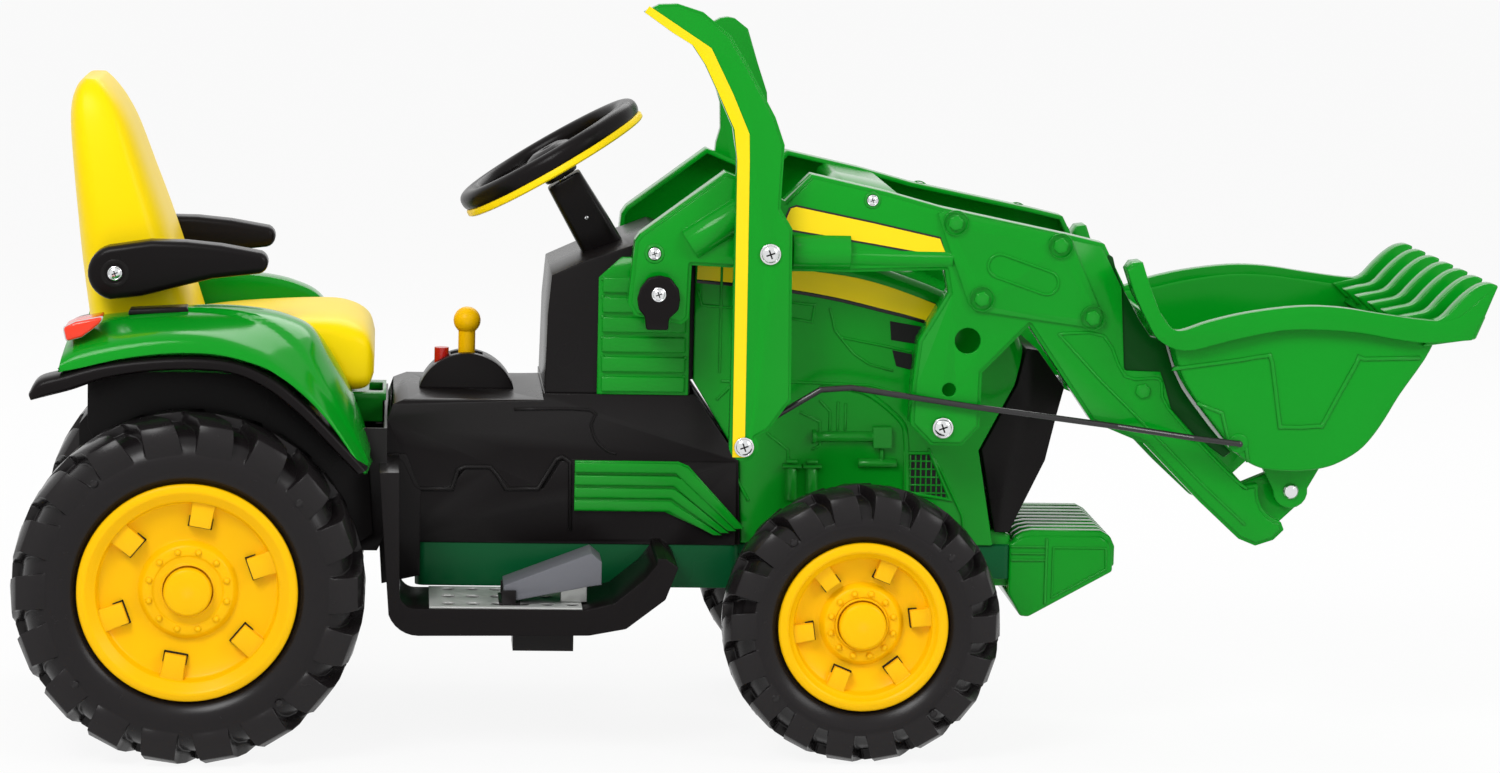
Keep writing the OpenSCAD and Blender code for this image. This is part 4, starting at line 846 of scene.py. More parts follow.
hoodShape = {
    "outline": [
        (-0.0725, 0.587), (-0.0725, 0.42), (-0.0185, 0.332), (-0.0135, 0.2296), (0.2835, 0.2296), (0.2635, 0.342),
        (0.3035, 0.42), (0.3135, 0.462), (0.304, 0.484), (0.26, 0.51), (0.2, 0.535), (0.14, 0.556), (0.08, 0.5705),
        (0.02, 0.58), (-0.04, 0.588),
    ],
    "corner": 0.016,
    "stripeTop": [
        (-0.07, 0.56), (-0.03, 0.558), (0.02, 0.5545), (0.07, 0.549), (0.1117, 0.5435), (0.15, 0.534), (0.185, 0.5222),
        (0.221, 0.5086),
    ],
    "stripeLow": [
        (-0.0706, 0.5385), (-0.0205, 0.5345), (0.0377, 0.5285), (0.0845, 0.5211), (0.118, 0.514), (0.1432, 0.5079),
        (0.173, 0.501), (0.204, 0.4925),
    ],
    "vents": [
        [(0.1551, 0.4931), (0.1951, 0.4867), (0.1863, 0.4667), (0.157, 0.4709)],
        [(0.1586, 0.4591), (0.1821, 0.4547), (0.1826, 0.4359), (0.1637, 0.4404)],
    ],
    "lines": [
        [(-0.0692, 0.526), (-0.0642, 0.5086), (-0.0281, 0.5057)],
        [(0.038, 0.5136), (0.0672, 0.5106), (0.0642, 0.4907), (0.0385, 0.495)],
        [(0.0848, 0.5073), (0.0912, 0.4817), (0.0973, 0.4736), (0.1442, 0.4649), (0.1819, 0.4572)],
        [(0.0973, 0.4736), (0.114, 0.454), (0.133, 0.442), (0.16, 0.435)],
        [(-0.04, 0.42), (0.0403, 0.4201), (0.1338, 0.4178), (0.1751, 0.4067), (0.23, 0.385)],
        [(-0.045, 0.398), (-0.025, 0.418), (-0.005, 0.42)],
        [(-0.042, 0.556), (-0.042, 0.43)],
        [(0.0149, 0.3599), (0.0399, 0.3403), (0.0403, 0.325)],
        [(0.0528, 0.3851), (0.0765, 0.3736), (0.0771, 0.3466), (0.0679, 0.3406)],
        [(0.097, 0.398), (0.097, 0.364)], [(0.106, 0.396), (0.106, 0.364)],
        [(0.0755, 0.399), (0.088, 0.386), (0.088, 0.364)],
    ],
    "slot": [(0.172, 0.526), (0.236, 0.506), (0.234, 0.502), (0.1735, 0.5225)],
    "block": [(0.1381, 0.3692), (0.1604, 0.3695), (0.161, 0.3448), (0.1388, 0.3445)],
    # points, width and height
    "bars": [
        ([(0.0673, 0.3563), (0.141, 0.3572)], 0.013, 0.0085), ([(0.0673, 0.3563), (0.072, 0.3563)], 0.017, 0.01),
        ([(0.1222, 0.326), (0.167, 0.3265)], 0.011, 0.0075), ([(0.1495, 0.345), (0.1495, 0.3265)], 0.006, 0.005),
        ([(0.204, 0.344), (0.22, 0.318), (0.246, 0.265), (0.248, 0.25)], 0.004, 0.0022),
    ],
    "pipes": [
        ([
            (0.0755, 0.4135), (0.1047, 0.4139), (0.1341, 0.4061), (0.17, 0.3772), (0.1775, 0.356), (0.179, 0.3184),
            (0.18, 0.29),
        ], 0.007, 0.003),
        ([(-0.012, 0.398), (-0.026, 0.36), (-0.025, 0.32), (-0.005, 0.28)], 0.0045, 0.002),
    ],
    "columns": (0.044, 0.068),
    # width and height of the raised lines
    "lineSize": (0.0038, 0.0016),
    "stripeEdge": (0.0052, 0.0005),
    "meshFrame": (0.0045, 0.003),
    "wire": (0.0022, 0.0016),
    # upright and level wires
    "wirePitch": (0.0062, 0.0094),
    "wires": (8, 5),
    "mesh": [(0.1769, 0.3384), (0.2063, 0.3388), (0.2314, 0.2836), (0.1782, 0.2924)],
}


def hood():
    h = hoodShape
    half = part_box("front_weight")[1].y + 0.002
    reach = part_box("engine_cover")[1].y - half
    mesh = bmesh.new()
    prism(mesh, h["outline"], -half, half)
    bmesh.ops.recalc_face_normals(mesh, faces=mesh.faces)
    roundedEdges(mesh, lambda c, d: c.z > 0.46 and abs(abs(c.y) - half) < 0.001 and c.x > -0.07, h["corner"])
    finished("hoodShell", mesh, greenGloss, "tractor", ["engine_cover"], 0.0022, 2, 40)
    bosses = bmesh.new()
    ex, _, ez = joints["arms_lift"]["pos_m"]
    across(bosses, ex, ez, half - 0.004, [(0.0095, 0), (0.02, 0), (0.02, reach), (0.0095, reach)])
    finished("hoodBosses", bosses, greenGloss, "tractor", [], 0.001)
    # Dark plates in the vents, the slot and behind the mesh: painted shade in the openings
    dark = bmesh.new()
    for outline in h["vents"]:
        plate(dark, outline, half - 0.001, half + 0.0003)
    plate(dark, h["slot"], half - 0.002, half + 0.0003)
    plate(dark, h["mesh"], half - 0.001, half + 0.00025)
    finished("hoodVents", dark, paintedShadeBlack, "tractor")
    band = bmesh.new()
    upper, lower = curved(h["stripeTop"], 4), curved(h["stripeLow"], 4)
    plate(band, upper + lower[::-1], half - 0.001, half + stripes["thickness"])
    finished("hoodStripe", band, yellowFilm, "tractor")
    under = bmesh.new()
    ridge(under, [(x, z - stripes["border"]) for x, z in lower], half, *h["stripeEdge"])
    finished("hoodStripeEdge", under, blackFilm, "tractor")
    relief = bmesh.new()
    for points in h["lines"]:
        ridge(relief, points, half, *h["lineSize"])
    for points, width, height in h["bars"] + [(curved(points, 4), *size) for points, *size in h["pipes"]]:
        ridge(relief, points, half, width, height)
    plate(relief, h["block"], half - 0.001, half + 0.0085)
    for x in h["columns"]:
        ridge(relief, [(x, 0.322), (x + 0.001, 0.282)], half, 0.015, 0.008)
        ridge(relief, [(x - 0.0105, 0.3215), (x + 0.0115, 0.3215)], half, 0.0055, 0.01)
        ridge(relief, [(x - 0.006, 0.327), (x + 0.007, 0.327)], half, 0.006, 0.006)
    ridge(relief, h["mesh"], half, *h["meshFrame"], True)
    meshX, meshZ = 0.1772, 0.3385
    for i in range(1, h["wires"][1] + 1):
        z = meshZ - h["wirePitch"][1] * i
        ridge(relief, [(meshX, z), (0.2068 + 0.0044 * i, z)], half, *h["wire"])
    for i in range(1, h["wires"][0] + 1):
        x = meshX + h["wirePitch"][0] * i
        top, foot = meshZ - max(0, (x - 0.2063) * 2.2), 0.2915 - (x - 0.178) * 0.16
        ridge(relief, [(x, top), (x + 0.0002, foot)], half, *h["wire"])
    finished("hoodRelief", relief, greenGloss, "tractor", [], 0.0008, 1)


hood()
print("engine cover")

details = {
    "bolt": [(0, -0.001), (0.0095, -0.001), (0.0095, 0.002), (0.0082, 0.0034), (0, 0.0034)],
    "boltRing": [(0.013, -0.001), (0.014, 0.0012), (0.015, -0.001)],
    "dome": [(0.0, 1.0), (0.42, 0.94), (0.74, 0.72), (0.92, 0.42), (1.0, 0.12), (1.0, -0.2), (0.0, -0.2)],
    "kneeBolts": [(0.2192, 0.6161), (0.341, 0.5916), (0.2517, 0.5292), (0.3807, 0.5092)],
    "boomBolt": (0.4425, 0.4247),
    "kneeSlot": [(0.2717, 0.5672), (0.3266, 0.5485)],
    "kneeSlotRadius": 0.0135,
    # push cap, in shares of its radius, with the slots' angles in degrees
    "capHeight": 0.42,
    "capSlot": (0.5, 0.085, 0.425),  # half length, half width and height
    "slotAngles": (20, 110),
    # share of the radius, and height in metres
    "capRing": [(0.98, -0.001), (1.16, -0.001), (1.14, 0.001), (0.98, 0.0016)],
    "boomLine": [(0.342, 0.49), (0.3921, 0.4368), (0.4462, 0.3851), (0.5127, 0.3194), (0.5672, 0.2696)],
    "boomEdge": [
        (0.344, 0.4895), (0.395, 0.4879), (0.421, 0.4418), (0.4559, 0.44), (0.4643, 0.4331), (0.4723, 0.4053),
        (0.5414, 0.3338), (0.568, 0.312),
    ],
    "bucketLine": [
        (0.47, 0.455), (0.479, 0.4561), (0.5481, 0.4663), (0.5769, 0.4713), (0.5853, 0.4645), (0.596, 0.3975),
        (0.6021, 0.3894), (0.6416, 0.3911), (0.6495, 0.3981), (0.684, 0.4659), (0.692, 0.4694), (0.7572, 0.4715),
    ],
    "bucketPatch": [(0.5001, 0.4159), (0.5295, 0.4047), (0.5376, 0.3735), (0.5588, 0.3645), (0.5618, 0.3483)],
    "console": [
        (-0.4335, 0.33), (-0.414, 0.3303), (-0.4058, 0.3222), (-0.3927, 0.2943), (-0.3869, 0.2909), (-0.35, 0.2913),
        (-0.3434, 0.3136), (-0.3354, 0.3172), (-0.3065, 0.3175), (-0.2983, 0.3083), (-0.2876, 0.292), (-0.2505, 0.2925),
        (-0.2303, 0.3267), (-0.2234, 0.3303), (-0.214, 0.3245), (-0.2125, 0.245),
    ],
    "consoleFold": [
        (-0.28, 0.385), (-0.1919, 0.3852), (-0.1904, 0.3677), (-0.1843, 0.3502), (-0.1724, 0.3386), (-0.1608, 0.3341),
    ],
    "dotSize": (0.0026, 0.0016),  # radius and height
    "louvreDots": [
        (-0.1798, 0.5381), (-0.1794, 0.5172), (-0.179, 0.494), (-0.1785, 0.4696), (-0.1781, 0.4475), (-0.1776, 0.4242),
        (-0.0871, 0.4697), (-0.0831, 0.4476), (-0.0838, 0.4254),
    ],
}


def pill(first, last, radius, steps=10):
    way = Vector((last[0] - first[0], last[1] - first[1])).normalized()
    start = math.atan2(way.y, way.x)
    out = []
    for centre, turnBy in ((last, -90), (first, 90)):
        for i in range(steps + 1):
            a = start + math.radians(turnBy + 180 * i / steps)
            out.append((centre[0] + radius * math.cos(a), centre[1] + radius * math.sin(a)))
    return out


def armDetails():
    d = details
    mesh = bmesh.new()
    for x, z in d["kneeBolts"]:
        across(mesh, x, z, faces["knee"], d["bolt"], steps=6, start=0.3)
        across(mesh, x, z, faces["knee"], d["boltRing"])
    across(mesh, *d["boomBolt"], faces["arm"], d["bolt"], steps=6, start=0.3)
    ridge(mesh, pill(*d["kneeSlot"], d["kneeSlotRadius"]), faces["kneeSlot"], 0.0042, 0.0016, True)
    ridge(mesh, d["boomLine"], faces["arm"], 0.004, 0.0018)
    ridge(mesh, curved(d["boomEdge"], 3), faces["arm"], 0.0044, 0.0018)
    finished("armRelief", mesh, greenGloss, "arms", [], 0.0006, 1)
    lines("bucketRelief", "bucket", greenGloss, [
        (faces["bucket"], 0.0055, 0.0024, curved(d["bucketLine"], 2)),
        (faces["bucket"], 0.005, 0.002, d["bucketPatch"]),
    ])
    lines("consoleRelief", "tractor", blackSatin, [
        (faces["console"], 0.0052, 0.0022, d["console"]),
        (faces["dash"], 0.004, 0.0016, curved(d["consoleFold"], 3)),
    ])
    dots = bmesh.new()
    radius, height = d["dotSize"]
    for x, z in d["louvreDots"]:
        across(dots, x, z, faces["louvre"], [(r * radius, h * height) for r, h in d["dome"]], steps=12)
    finished("louvreDots", dots, greenGloss, "tractor")


# Chromed push cap with a cross slot
def caps(name, body, places):
    mesh = bmesh.new()
    cross = bmesh.new()
    for x, z, face, sign, radius in places:
        dome = [(r * radius, h * radius * details["capHeight"]) for r, h in details["dome"]]
        across(mesh, x, z, face, dome, (sign,), 36)
        across(mesh, x, z, face, [(radius * r, up) for r, up in details["capRing"]], (sign,), 36)
        u, w, height = (radius * share for share in details["capSlot"])
        for a in details["slotAngles"]:
            c, s = math.cos(math.radians(a)), math.sin(math.radians(a))
            corners = [(-u, -w), (u, -w), (u, w), (-u, w)]
            outline = [(x + p * c - q * s, z + p * s + q * c) for p, q in corners]
            plate(cross, outline, face, face + height, (sign,))
    finished(name, mesh, chrome, body)
    # The cross slots are near-black plates: painted shade inside the slots
    finished(f"{name}Slots", cross, paintedShadeBlack, body)


armDetails()
print("relief")


# How far in each part's edges are rounded
edgeWidths = {
    "dash_cowl": 0.011, "lever": 0.0026, "lift_handle": 0.0026, "arm_right": 0.003, "arm_left": 0.003,
    "arm_crossmember": 0.004, "pedal": 0.0045, "lower_tray": 0.006, "nose_grille": 0.005, "louvre_panels": 0.0016,
    "step_panels": 0.0016, "shifter_dome": 0.0035, "pedal_housing": 0.003, "foot_plates": 0.0006, "seat_pan": 0.004,
}
for node, width in edgeWidths.items():
    dressed(node, width)
consoleTop = 0.396
# Larger corners along the console's top and the footboards' front
dressed("chassis", 0.004, (
    (lambda c, d: abs(c.z - consoleTop) < 0.002 and abs(c.y) > 0.12 and abs(d.x) > 0.03 and c.x < -0.22, 0.02),
    (lambda c, d: abs(d.y) > 0.1 and c.z < 0.25 and c.x > -0.25 and abs(c.y) > 0.13, 0.024),
))
print("edges rounded")

weightShape = {
    "body": [
        (0.304, 0.19), (0.304, 0.23), (0.318, 0.2385), (0.33, 0.2405), (0.413, 0.2405), (0.4225, 0.233), (0.426, 0.224),
        (0.427, 0.1992), (0.329, 0.1442), (0.319, 0.1452), (0.304, 0.172),
    ],
    "rib": [
        (0.306, 0.225), (0.311, 0.2385), (0.32, 0.2445), (0.331, 0.247), (0.412, 0.247), (0.4235, 0.241),
        (0.429, 0.229), (0.429, 0.205), (0.42, 0.205), (0.414, 0.225),
    ],
    "tongue": [(0.256, 0.179), (0.256, 0.244), (0.29, 0.246), (0.306, 0.24), (0.306, 0.179)],
    "panel": [(0.356, 0.227), (0.418, 0.227), (0.419, 0.202), (0.356, 0.168)],
    "ribs": 9,
    "ribHalf": 0.0098,
    "half": 0.11,
    "tongueHalf": 0.1,
    "groove": [(0.348, 0.238), (0.348, 0.16)],
    "slats": (0.228, 0.22, 0.212),
}


def weight():
    w = weightShape
    mesh = bmesh.new()
    prism(mesh, w["body"], -w["half"], w["half"])
    plate(mesh, w["tongue"], -w["tongueHalf"], w["tongueHalf"], (1,))
    for i in range(w["ribs"]):
        y = w["half"] * (2 * (i + 0.5) / w["ribs"] - 1)
        plate(mesh, w["rib"], y - w["ribHalf"], y + w["ribHalf"], (1,))
    finished("weightShell", mesh, greenGloss, "tractor", ["front_weight"], 0.0028, 3)
    relief = bmesh.new()
    ridge(relief, w["groove"], w["half"], 0.004, 0.002)
    for z in w["slats"]:
        ridge(relief, [(0.306, z), (0.346, z)], w["half"], 0.0032, 0.002)
    ridge(relief, w["panel"], w["half"], 0.003, 0.0014, True)
    finished("weightRelief", relief, greenGloss, "tractor")


weight()

wheelShape = {
    "grip": 0.0124,
    "gripHeight": (0.007, 0.012),  # middle and half
    "swells": 12,
    "swell": 0.03,
    "spokes": (90, 210, 330),
    "hub": [(0.0062, -0.006), (0.03, -0.006), (0.034, 0.0), (0.029, 0.011), (0.018, 0.0155), (0.0062, 0.0155)],
    "underHub": [(0.0062, -0.0235), (0.0205, -0.0235), (0.0215, -0.015), (0.0062, -0.015)],
    "column": ((-0.136, 1.04), (-0.09, 1.02), (-0.0262, 0.92)),  # place on the axis and size
    # how far in from the outer radius, and place on the axis
    "band": [(0.019, -0.0095), (0.002, -0.0095), (0, -0.008), (0, -0.0035), (0.002, -0.0008), (0.02, -0.0008)],
    "plate": (0.034, 0.024),
    "plateSpan": (-0.015, -0.0068),
}


def steering():
    s = wheelShape
    axis = Vector(joints["steering_turn"]["axis"]).normalized()
    centre = Vector(joints["steering_turn"]["pos_m"])
    turned = Matrix.Translation(centre) @ axis.to_track_quat("Z", "Y").to_matrix().to_4x4()
    low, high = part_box("steering_wheel")
    half = (high.y - low.y) / 2

    def put(name, mesh, material, stands=(), width=0.0):
        mesh.transform(turned)
        finished(name, mesh, material, "steering", stands, width)

    grip = bmesh.new()
    middle = half - s["grip"]
    ring = oval(middle, s["grip"], *s["gripHeight"], 2.3, 28)
    rings = []
    for i in range(120):
        a = 2 * math.pi * i / 120
        swell = 1 + s["swell"] * math.cos(s["swells"] * a)
        radii = [(middle + (r - middle) * swell, z) for r, z in ring]
        rings.append([(r * math.cos(a), r * math.sin(a), z) for r, z in radii])
    loft(grip, rings, closed=True)
    put("wheelGrip", grip, blackSatin, ["steering_wheel"])
    band = bmesh.new()
    turn(band, [(half - r, z) for r, z in s["band"]], 120)
    put("wheelBand", band, seatYellow, ["steering_ring"])
    hub = bmesh.new()
    turn(hub, s["hub"], 64)
    for a in s["spokes"]:
        spoke = bmesh.new()
        stations = (
            (0.024, 0.017, -0.004, 0.0085), (0.055, 0.012, -0.003, 0.006), (half - 0.016, 0.015, -0.002, 0.006),
        )
        loft(spoke, [[(x, -w, b), (x, w, b), (x, w * 0.8, t), (x, -w * 0.8, t)] for x, w, b, t in stations])
        merge(hub, spun(spoke, math.radians(a)))
    put("wheelHub", hub, blackSatin, (), 0.003)
    under = bmesh.new()
    px, py = s["plate"]
    loft(under, [[(-px, -py, z), (px, -py, z), (px, py, z), (-px, py, z)] for z in s["plateSpan"]])
    turn(under, s["underHub"], 48)
    put("wheelPlate", under, blackSatin, (), 0.0025)
    column = bmesh.new()
    shape = oval(0, 0.0255, 0, 0.0235, 5.0, 40)
    loft(column, [[(x * k, y * k, z) for x, y in shape] for z, k in s["column"]])
    column.transform(turned)
    finished("columnShell", column, blackSatin, "tractor", ["column_cover"], 0.002)


steering()

knobShape = {
    "outline": [
        (-0.1317, 0.5485), (-0.1184, 0.5512), (-0.1061, 0.5485), (-0.0967, 0.5363), (-0.095, 0.5241), (-0.0967, 0.5118),
        (-0.1073, 0.502), (-0.1078, 0.489), (-0.133, 0.489), (-0.1351, 0.5045), (-0.1418, 0.5118), (-0.1438, 0.5241),
        (-0.1406, 0.5363),
    ],
    "edge": 0.0035,
    "back": 0.1965,
    "pin": [(0, 0), (0.0054, 0), (0.0054, 0.0385), (0.011, 0.0385), (0.011, 0.043), (0, 0.043)],
}


def knobs():
    for side, sign in (("right", 1), ("left", -1)):
        node = f"latch_knob_{side}"
        low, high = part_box(node)
        inner, outer = sorted((abs(low.y), abs(high.y)))
        x, _, z = joints[f"latch_{side}_turn"]["pos_m"]
        mesh = bmesh.new()
        plate(mesh, knobShape["outline"], knobShape["back"], outer - 0.0022, (sign,))
        across(mesh, x, z, inner + 0.003, knobShape["pin"], (sign,))
        finished(f"knob{side.title()}", mesh, blackSatin, node, [node], knobShape["edge"], 3)
        caps(f"knobScrew{side.title()}", node, [(x - 0.0015, z + 0.0016, outer - 0.0024, sign, 0.0072)])


knobs()


# Caps on both sides, each by x, z, distance of its face from the middle plane, and radius
def mirrored(*places):
    return [(x, z, face, sign, radius) for sign in (1, -1) for x, z, face, radius in places]


# x, z, distance of the face from the middle plane, and radius
capPlaces = {
    "arms": [
        (-0.1245, 0.575, 0.1935, 0.0062), (0.1235, 0.64, 0.1935, 0.0056), (0.619, 0.31, 0.1935, 0.0062),
        (0.412, 0.4905, 0.1897, 0.0048),
    ],
    "pivot": (0.2115, 0.379, 0.1945, 0.0104),
    "wall": (-0.6645, 0.447, 0.2032, 0.005),
    "column": (-0.1955, 0.5985, 0.0232, 1, 0.0058),  # the fourth number is the side
    "lever": (0.23, 1, 0.0104),  # distance of the face, side and radius
    "rod": (0.2308, 1, 0.0098),
    "armrest": (-0.736, 0.541, 0.1722),
    "armrestRadius": 0.0072,
    "bossRings": [(-0.1245, 0.575, 0.0105), (0.1235, 0.64, 0.009)],
}
leverX, _, leverZ = joints["lever_pull"]["pos_m"]
rodX, _, rodZ = joints["bucket_rod_swing"]["pos_m"]
caps("armCaps", "arms", mirrored(*capPlaces["arms"]) + [(leverX, leverZ, *capPlaces["lever"])])
caps("pivotCaps", "tractor", mirrored(capPlaces["pivot"]))
for side, sign in (("right", 1), ("left", -1)):
    cap = (*capPlaces["armrest"], sign, capPlaces["armrestRadius"])
    caps(f"armrestCap{side.title()}", f"armrest_{side}", [cap])
caps("columnScrew", "tractor", [capPlaces["column"]])
caps("wallScrews", "tractor", mirrored(capPlaces["wall"]))
caps("rodCap", "bucket_rod", [(rodX, rodZ, *capPlaces["rod"])])
bossRings = bmesh.new()
for x, z, r in capPlaces["bossRings"]:
    across(bossRings, x, z, faces["arm"], [(r * 0.72, -0.0005), (r * 0.78, 0.0014), (r, 0.0012), (r * 1.15, -0.0005)])
finished("armBosses", bossRings, greenGloss, "arms")
print("fittings")

bucketShape = {
    "body": [
        (0.469, 0.496), (0.4724, 0.4768), (0.4803, 0.4515), (0.4914, 0.4308), (0.5036, 0.4136), (0.5219, 0.3907),
        (0.542, 0.366), (0.5583, 0.35), (0.576, 0.3415), (0.5935, 0.3385), (0.6227, 0.338), (0.65, 0.342),
        (0.669, 0.349), (0.69, 0.362), (0.705, 0.378), (0.7196, 0.4), (0.7357, 0.4283), (0.7631, 0.4693),
        (0.776, 0.496),
    ],
    "wall": 0.005,
    "lug": (0.1785, 0.1925),
    "rimTop": [
        (0.4295, 0.579), (0.4385, 0.5528), (0.4511, 0.522), (0.4631, 0.5061), (0.4772, 0.5005), (0.5091, 0.5113),
        (0.5548, 0.5224), (0.6123, 0.5301), (0.6587, 0.5296), (0.7053, 0.5234), (0.7461, 0.5182), (0.7752, 0.5163),
        (0.7948, 0.5201), (0.809, 0.53), (0.8207, 0.5412), (0.831, 0.55), (0.841, 0.556),
    ],
    "rimLow": [
        (0.8133, 0.4945), (0.7647, 0.4908), (0.7297, 0.4938), (0.683, 0.5012), (0.6365, 0.504), (0.5903, 0.5022),
        (0.533, 0.4898), (0.4929, 0.4789), (0.4698, 0.4797), (0.4498, 0.491), (0.4377, 0.5103), (0.4228, 0.5399),
        (0.4125, 0.569),
    ],
    "corner": [
        (0.4125, 0.569), (0.418, 0.5775), (0.4295, 0.579), (0.4385, 0.5528), (0.4511, 0.522), (0.4631, 0.5061),
        (0.4698, 0.49), (0.456, 0.49), (0.44, 0.5103), (0.4228, 0.5399),
    ],
    "lip": [(0.7575, 0.486), (0.819, 0.495), (0.83, 0.522), (0.824, 0.524), (0.813, 0.503), (0.7655, 0.497)],
    "rib": [
        (0.742, 0.51), (0.76, 0.514), (0.7787, 0.519), (0.793, 0.534), (0.806, 0.547), (0.82, 0.557), (0.833, 0.56),
        (0.842, 0.5575), (0.818, 0.496), (0.76, 0.492),
    ],
    "ribs": 7,
    "ribThick": 0.025,
    "lugRadius": 0.02,
    "lugTop": [(0.66, 0.352), (0.579, 0.35)],
    "rodBoss": [(0, 0), (0.012, 0), (0.011, 0.004), (0, 0.004)],
    # distances from the middle plane
    "cornerSpan": (0.201, 0.2385),
    "rimSpan": (0.2215, 0.24),
    "lipHalf": 0.236,
    "ribReach": 0.227,
    "plateSpan": (0.17, 0.1895),
    "plate": [
        (0.396, 0.583), (0.403, 0.579), (0.407, 0.564), (0.419, 0.537), (0.436, 0.507), (0.45, 0.487), (0.4655, 0.485),
        (0.469, 0.474), (0.4768, 0.45), (0.488, 0.428), (0.5005, 0.4105), (0.5188, 0.3875), (0.539, 0.3635),
        (0.548, 0.354), (0.54, 0.348), (0.5117, 0.3679), (0.4637, 0.4046), (0.4217, 0.439), (0.3966, 0.4944),
    ],
    "wallTop": [
        (0.79, 0.504), (0.7461, 0.509), (0.7053, 0.514), (0.6587, 0.519), (0.6123, 0.519), (0.5548, 0.51),
        (0.5091, 0.499), (0.4772, 0.496),
    ],
}


def bucket():
    b = bucketShape
    side = faces["bucket"]
    outer = curved(b["body"], 3)
    inner = offset(outer, b["wall"])
    pinX, _, pinZ = joints["bucket_dump"]["pos_m"]
    shell, walls, lugs, edge, lip, plates = (bmesh.new() for i in range(6))
    prism(shell, outer + inner[::-1], -side + 0.001, side - 0.001)
    plate(walls, outer[1:] + curved(b["wallTop"], 3), side - 0.006, side)
    plate(lugs, arc(pinX, pinZ, b["lugRadius"], range(-180, 11, 19)) + b["lugTop"], *b["lug"])
    plate(lugs, b["corner"], *b["cornerSpan"])
    across(lugs, pinX - 0.069, 0.37, side - 0.002, b["rodBoss"])
    plate(edge, curved(b["rimTop"], 4) + curved(b["rimLow"], 4), *b["rimSpan"])
    prism(lip, b["lip"], -b["lipHalf"], b["lipHalf"])
    rib = curved(b["rib"][:8], 3) + b["rib"][8:]
    for i in range(b["ribs"]):
        y = b["ribReach"] * (2 * i / (b["ribs"] - 1) - 1)
        plate(lip, rib, y - b["ribThick"] / 2, y + b["ribThick"] / 2, (1,))
    # The inner boom plates use the darker green: painted shade where the boom is in shadow
    plate(plates, b["plate"], *b["plateSpan"])
    for name, mesh, width, segments, stands in (
        ("Shell", shell, 0.0012, 2, ["bucket"]), ("Walls", walls, 0.004, 3, []), ("Lugs", lugs, 0.003, 2, []),
        ("Rim", edge, 0.0032, 3, []), ("Ribs", lip, 0.0026, 3, []),
    ):
        finished(f"bucket{name}", mesh, greenGloss, "bucket", stands, width, segments, 40)
    finished("boomPlates", plates, paintedShadeGreen, "arms", [], 0.0015)


bucket()

wallShape = {
    "fender": [
        (-0.764, 0.37), (-0.764, 0.44), (-0.7, 0.456), (-0.63, 0.462), (-0.57, 0.448), (-0.52, 0.418), (-0.476, 0.372),
        (-0.446, 0.33), (-0.44, 0.25), (-0.47, 0.232), (-0.7, 0.232),
    ],
    "foot": [(-0.44, 0.332), (-0.404, 0.332), (-0.386, 0.29), (-0.386, 0.19), (-0.43, 0.18)],
    "dash": [(-0.09, 0.56), (-0.065, 0.56), (-0.065, 0.42), (-0.09, 0.42)],
    "seam": [(-0.62, 0.436), (-0.582, 0.434)],
    "bracket": [(-0.226, 0.1782), (-0.226, 0.196), (-0.196, 0.199), (-0.196, 0.1782)],
    # inner and outer distance from the middle plane
    "spans": {"fender": (0.1985, 0.203), "foot": (0.126, 0.13), "dash": (0.085, 0.105), "bracket": (0.205, 0.232)},
}
walls = bmesh.new()
for name in ("fender", "foot", "dash"):
    plate(walls, wallShape[name], *wallShape["spans"][name])
ridge(walls, wallShape["seam"], wallShape["spans"]["fender"][1], 0.003, 0.001)
finished("wheelWalls", walls, blackSatin, "tractor", [], 0.001)
bracket = bmesh.new()
plate(bracket, wallShape["bracket"], *wallShape["spans"]["bracket"], (1,))
finished("pedalBracket", bracket, steel, "tractor", [], 0.0015)
print("bucket and walls")

camera = {
    "place": (-0.41946, -5.44181, 1.10587),
    "lens": 111.25,
    "yaw": 0.07747,
    "pitch": 0.12881,
    "roll": 0.02329,
}


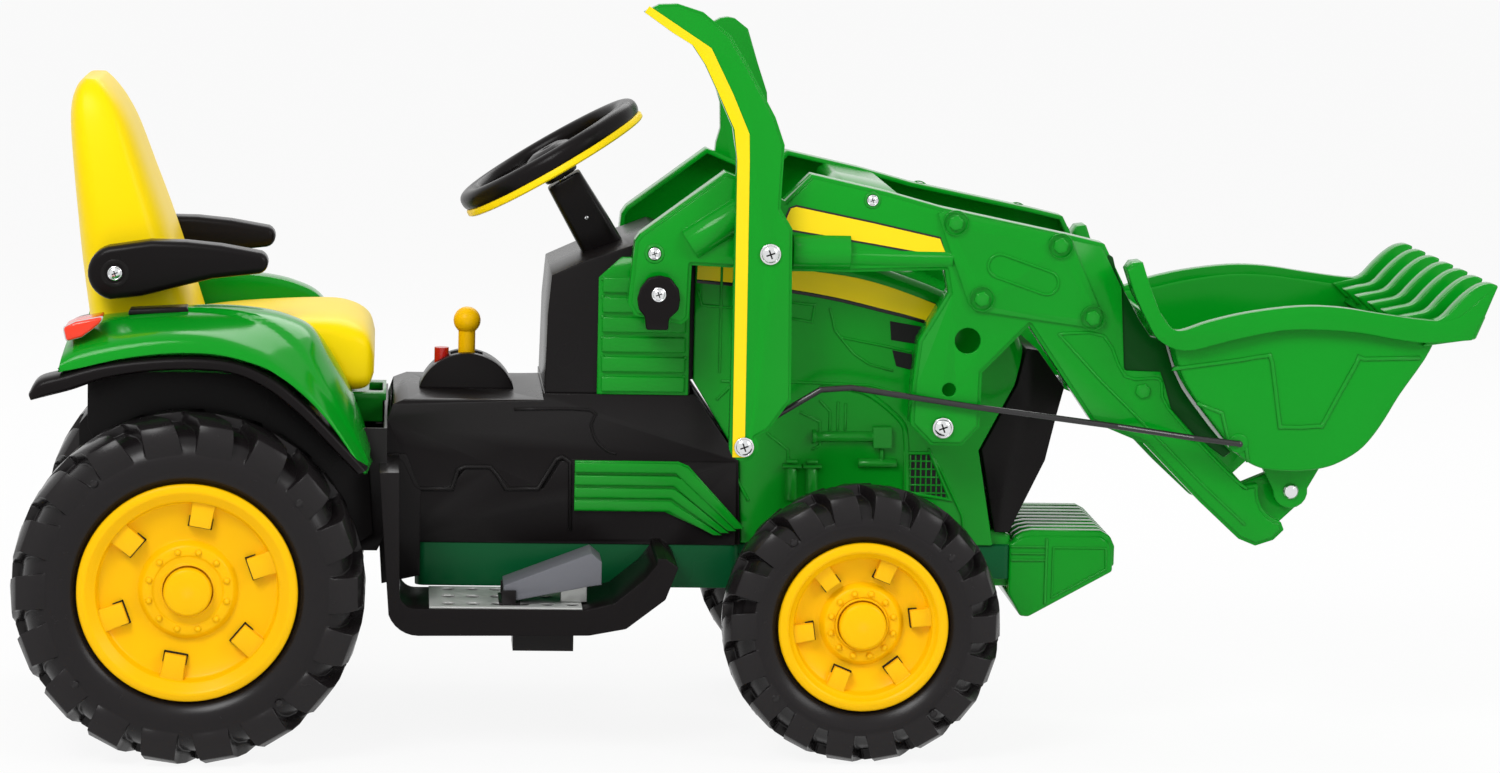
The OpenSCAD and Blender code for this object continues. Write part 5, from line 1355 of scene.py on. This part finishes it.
def placeCamera():
    data = bpy.data.cameras.new("camera")
    data.lens = camera["lens"]
    data.sensor_width = 36
    made = bpy.data.objects.new("camera", data)
    bpy.context.scene.collection.objects.link(made)
    yaw, pitch, roll = camera["yaw"], camera["pitch"], camera["roll"]
    ahead = Vector((math.sin(yaw) * math.cos(pitch), math.cos(yaw) * math.cos(pitch), -math.sin(pitch)))
    level = Vector((math.cos(yaw), -math.sin(yaw), 0))
    above = level.cross(ahead)
    right = level * math.cos(roll) + above * math.sin(roll)
    up = above * math.cos(roll) - level * math.sin(roll)
    turned = Matrix((right, up, -ahead)).transposed().to_4x4()
    made.matrix_world = Matrix.Translation(camera["place"]) @ turned
    bpy.context.scene.camera = made


placeCamera()

studio = {
    "world": 0.56,
    "lamps": [
        ((-1.8, -3.0, 3.2), 1.5, 92.0),
        ((2.6, -2.4, 2.2), 1.4, 34.0),
        ((0.2, 2.6, 3.0), 2.2, 45.0),
    ],
    "aim": (0, 0, 0.35),
    "floorWhite": 0.9,
}


def seenDirectly(g):
    rays = ("Is Camera Ray", "Is Glossy Ray", "Is Transmission Ray")
    camera, glossy, through = (g.node("ShaderNodeLightPath", {}, {}, ray) for ray in rays)
    return (camera + glossy + through).clamp()


def light():
    scene = bpy.context.scene
    scene.view_settings.view_transform = "Standard"
    world = bpy.data.worlds.new("studio")
    scene.world = world
    g = Graph(world, "ShaderNodeOutputWorld")
    level = studio["world"] + seenDirectly(g) * (1 - studio["world"])
    g.finish(g.node("ShaderNodeBackground", {}, {"Color": (1.0, 1.0, 1.0), "Strength": level}))
    for place, size, power in studio["lamps"]:
        data = bpy.data.lights.new("softbox", "AREA")
        data.shape = "SQUARE"
        data.size = size
        data.energy = power
        lamp = bpy.data.objects.new("softbox", data)
        scene.collection.objects.link(lamp)
        aim = Vector(studio["aim"]) - Vector(place)
        lamp.matrix_world = Matrix.Translation(place) @ aim.to_track_quat("-Z", "Y").to_matrix().to_4x4()


def floor():
    mesh = bmesh.new()
    bmesh.ops.create_grid(mesh, x_segments=1, y_segments=1, size=30)
    data = bpy.data.meshes.new("floor")
    mesh.to_mesh(data)
    mesh.free()
    made = bpy.data.objects.new("floor", data)
    bpy.context.scene.collection.objects.link(made)
    g = Graph(bpy.data.materials.new("floor"))
    matt = g.node("ShaderNodeBsdfDiffuse", {}, {"Color": (0.9, 0.9, 0.9)})
    glow = g.node("ShaderNodeEmission", {}, {"Color": (1.0, 1.0, 1.0), "Strength": 1.0})
    shares = {0: seenDirectly(g) * studio["floorWhite"], 1: matt, 2: glow}
    data.materials.append(g.finish(g.node("ShaderNodeMixShader", {}, shares)))


light()
floor()
print("camera, lamps and floor")

bpy.context.view_layer.update()
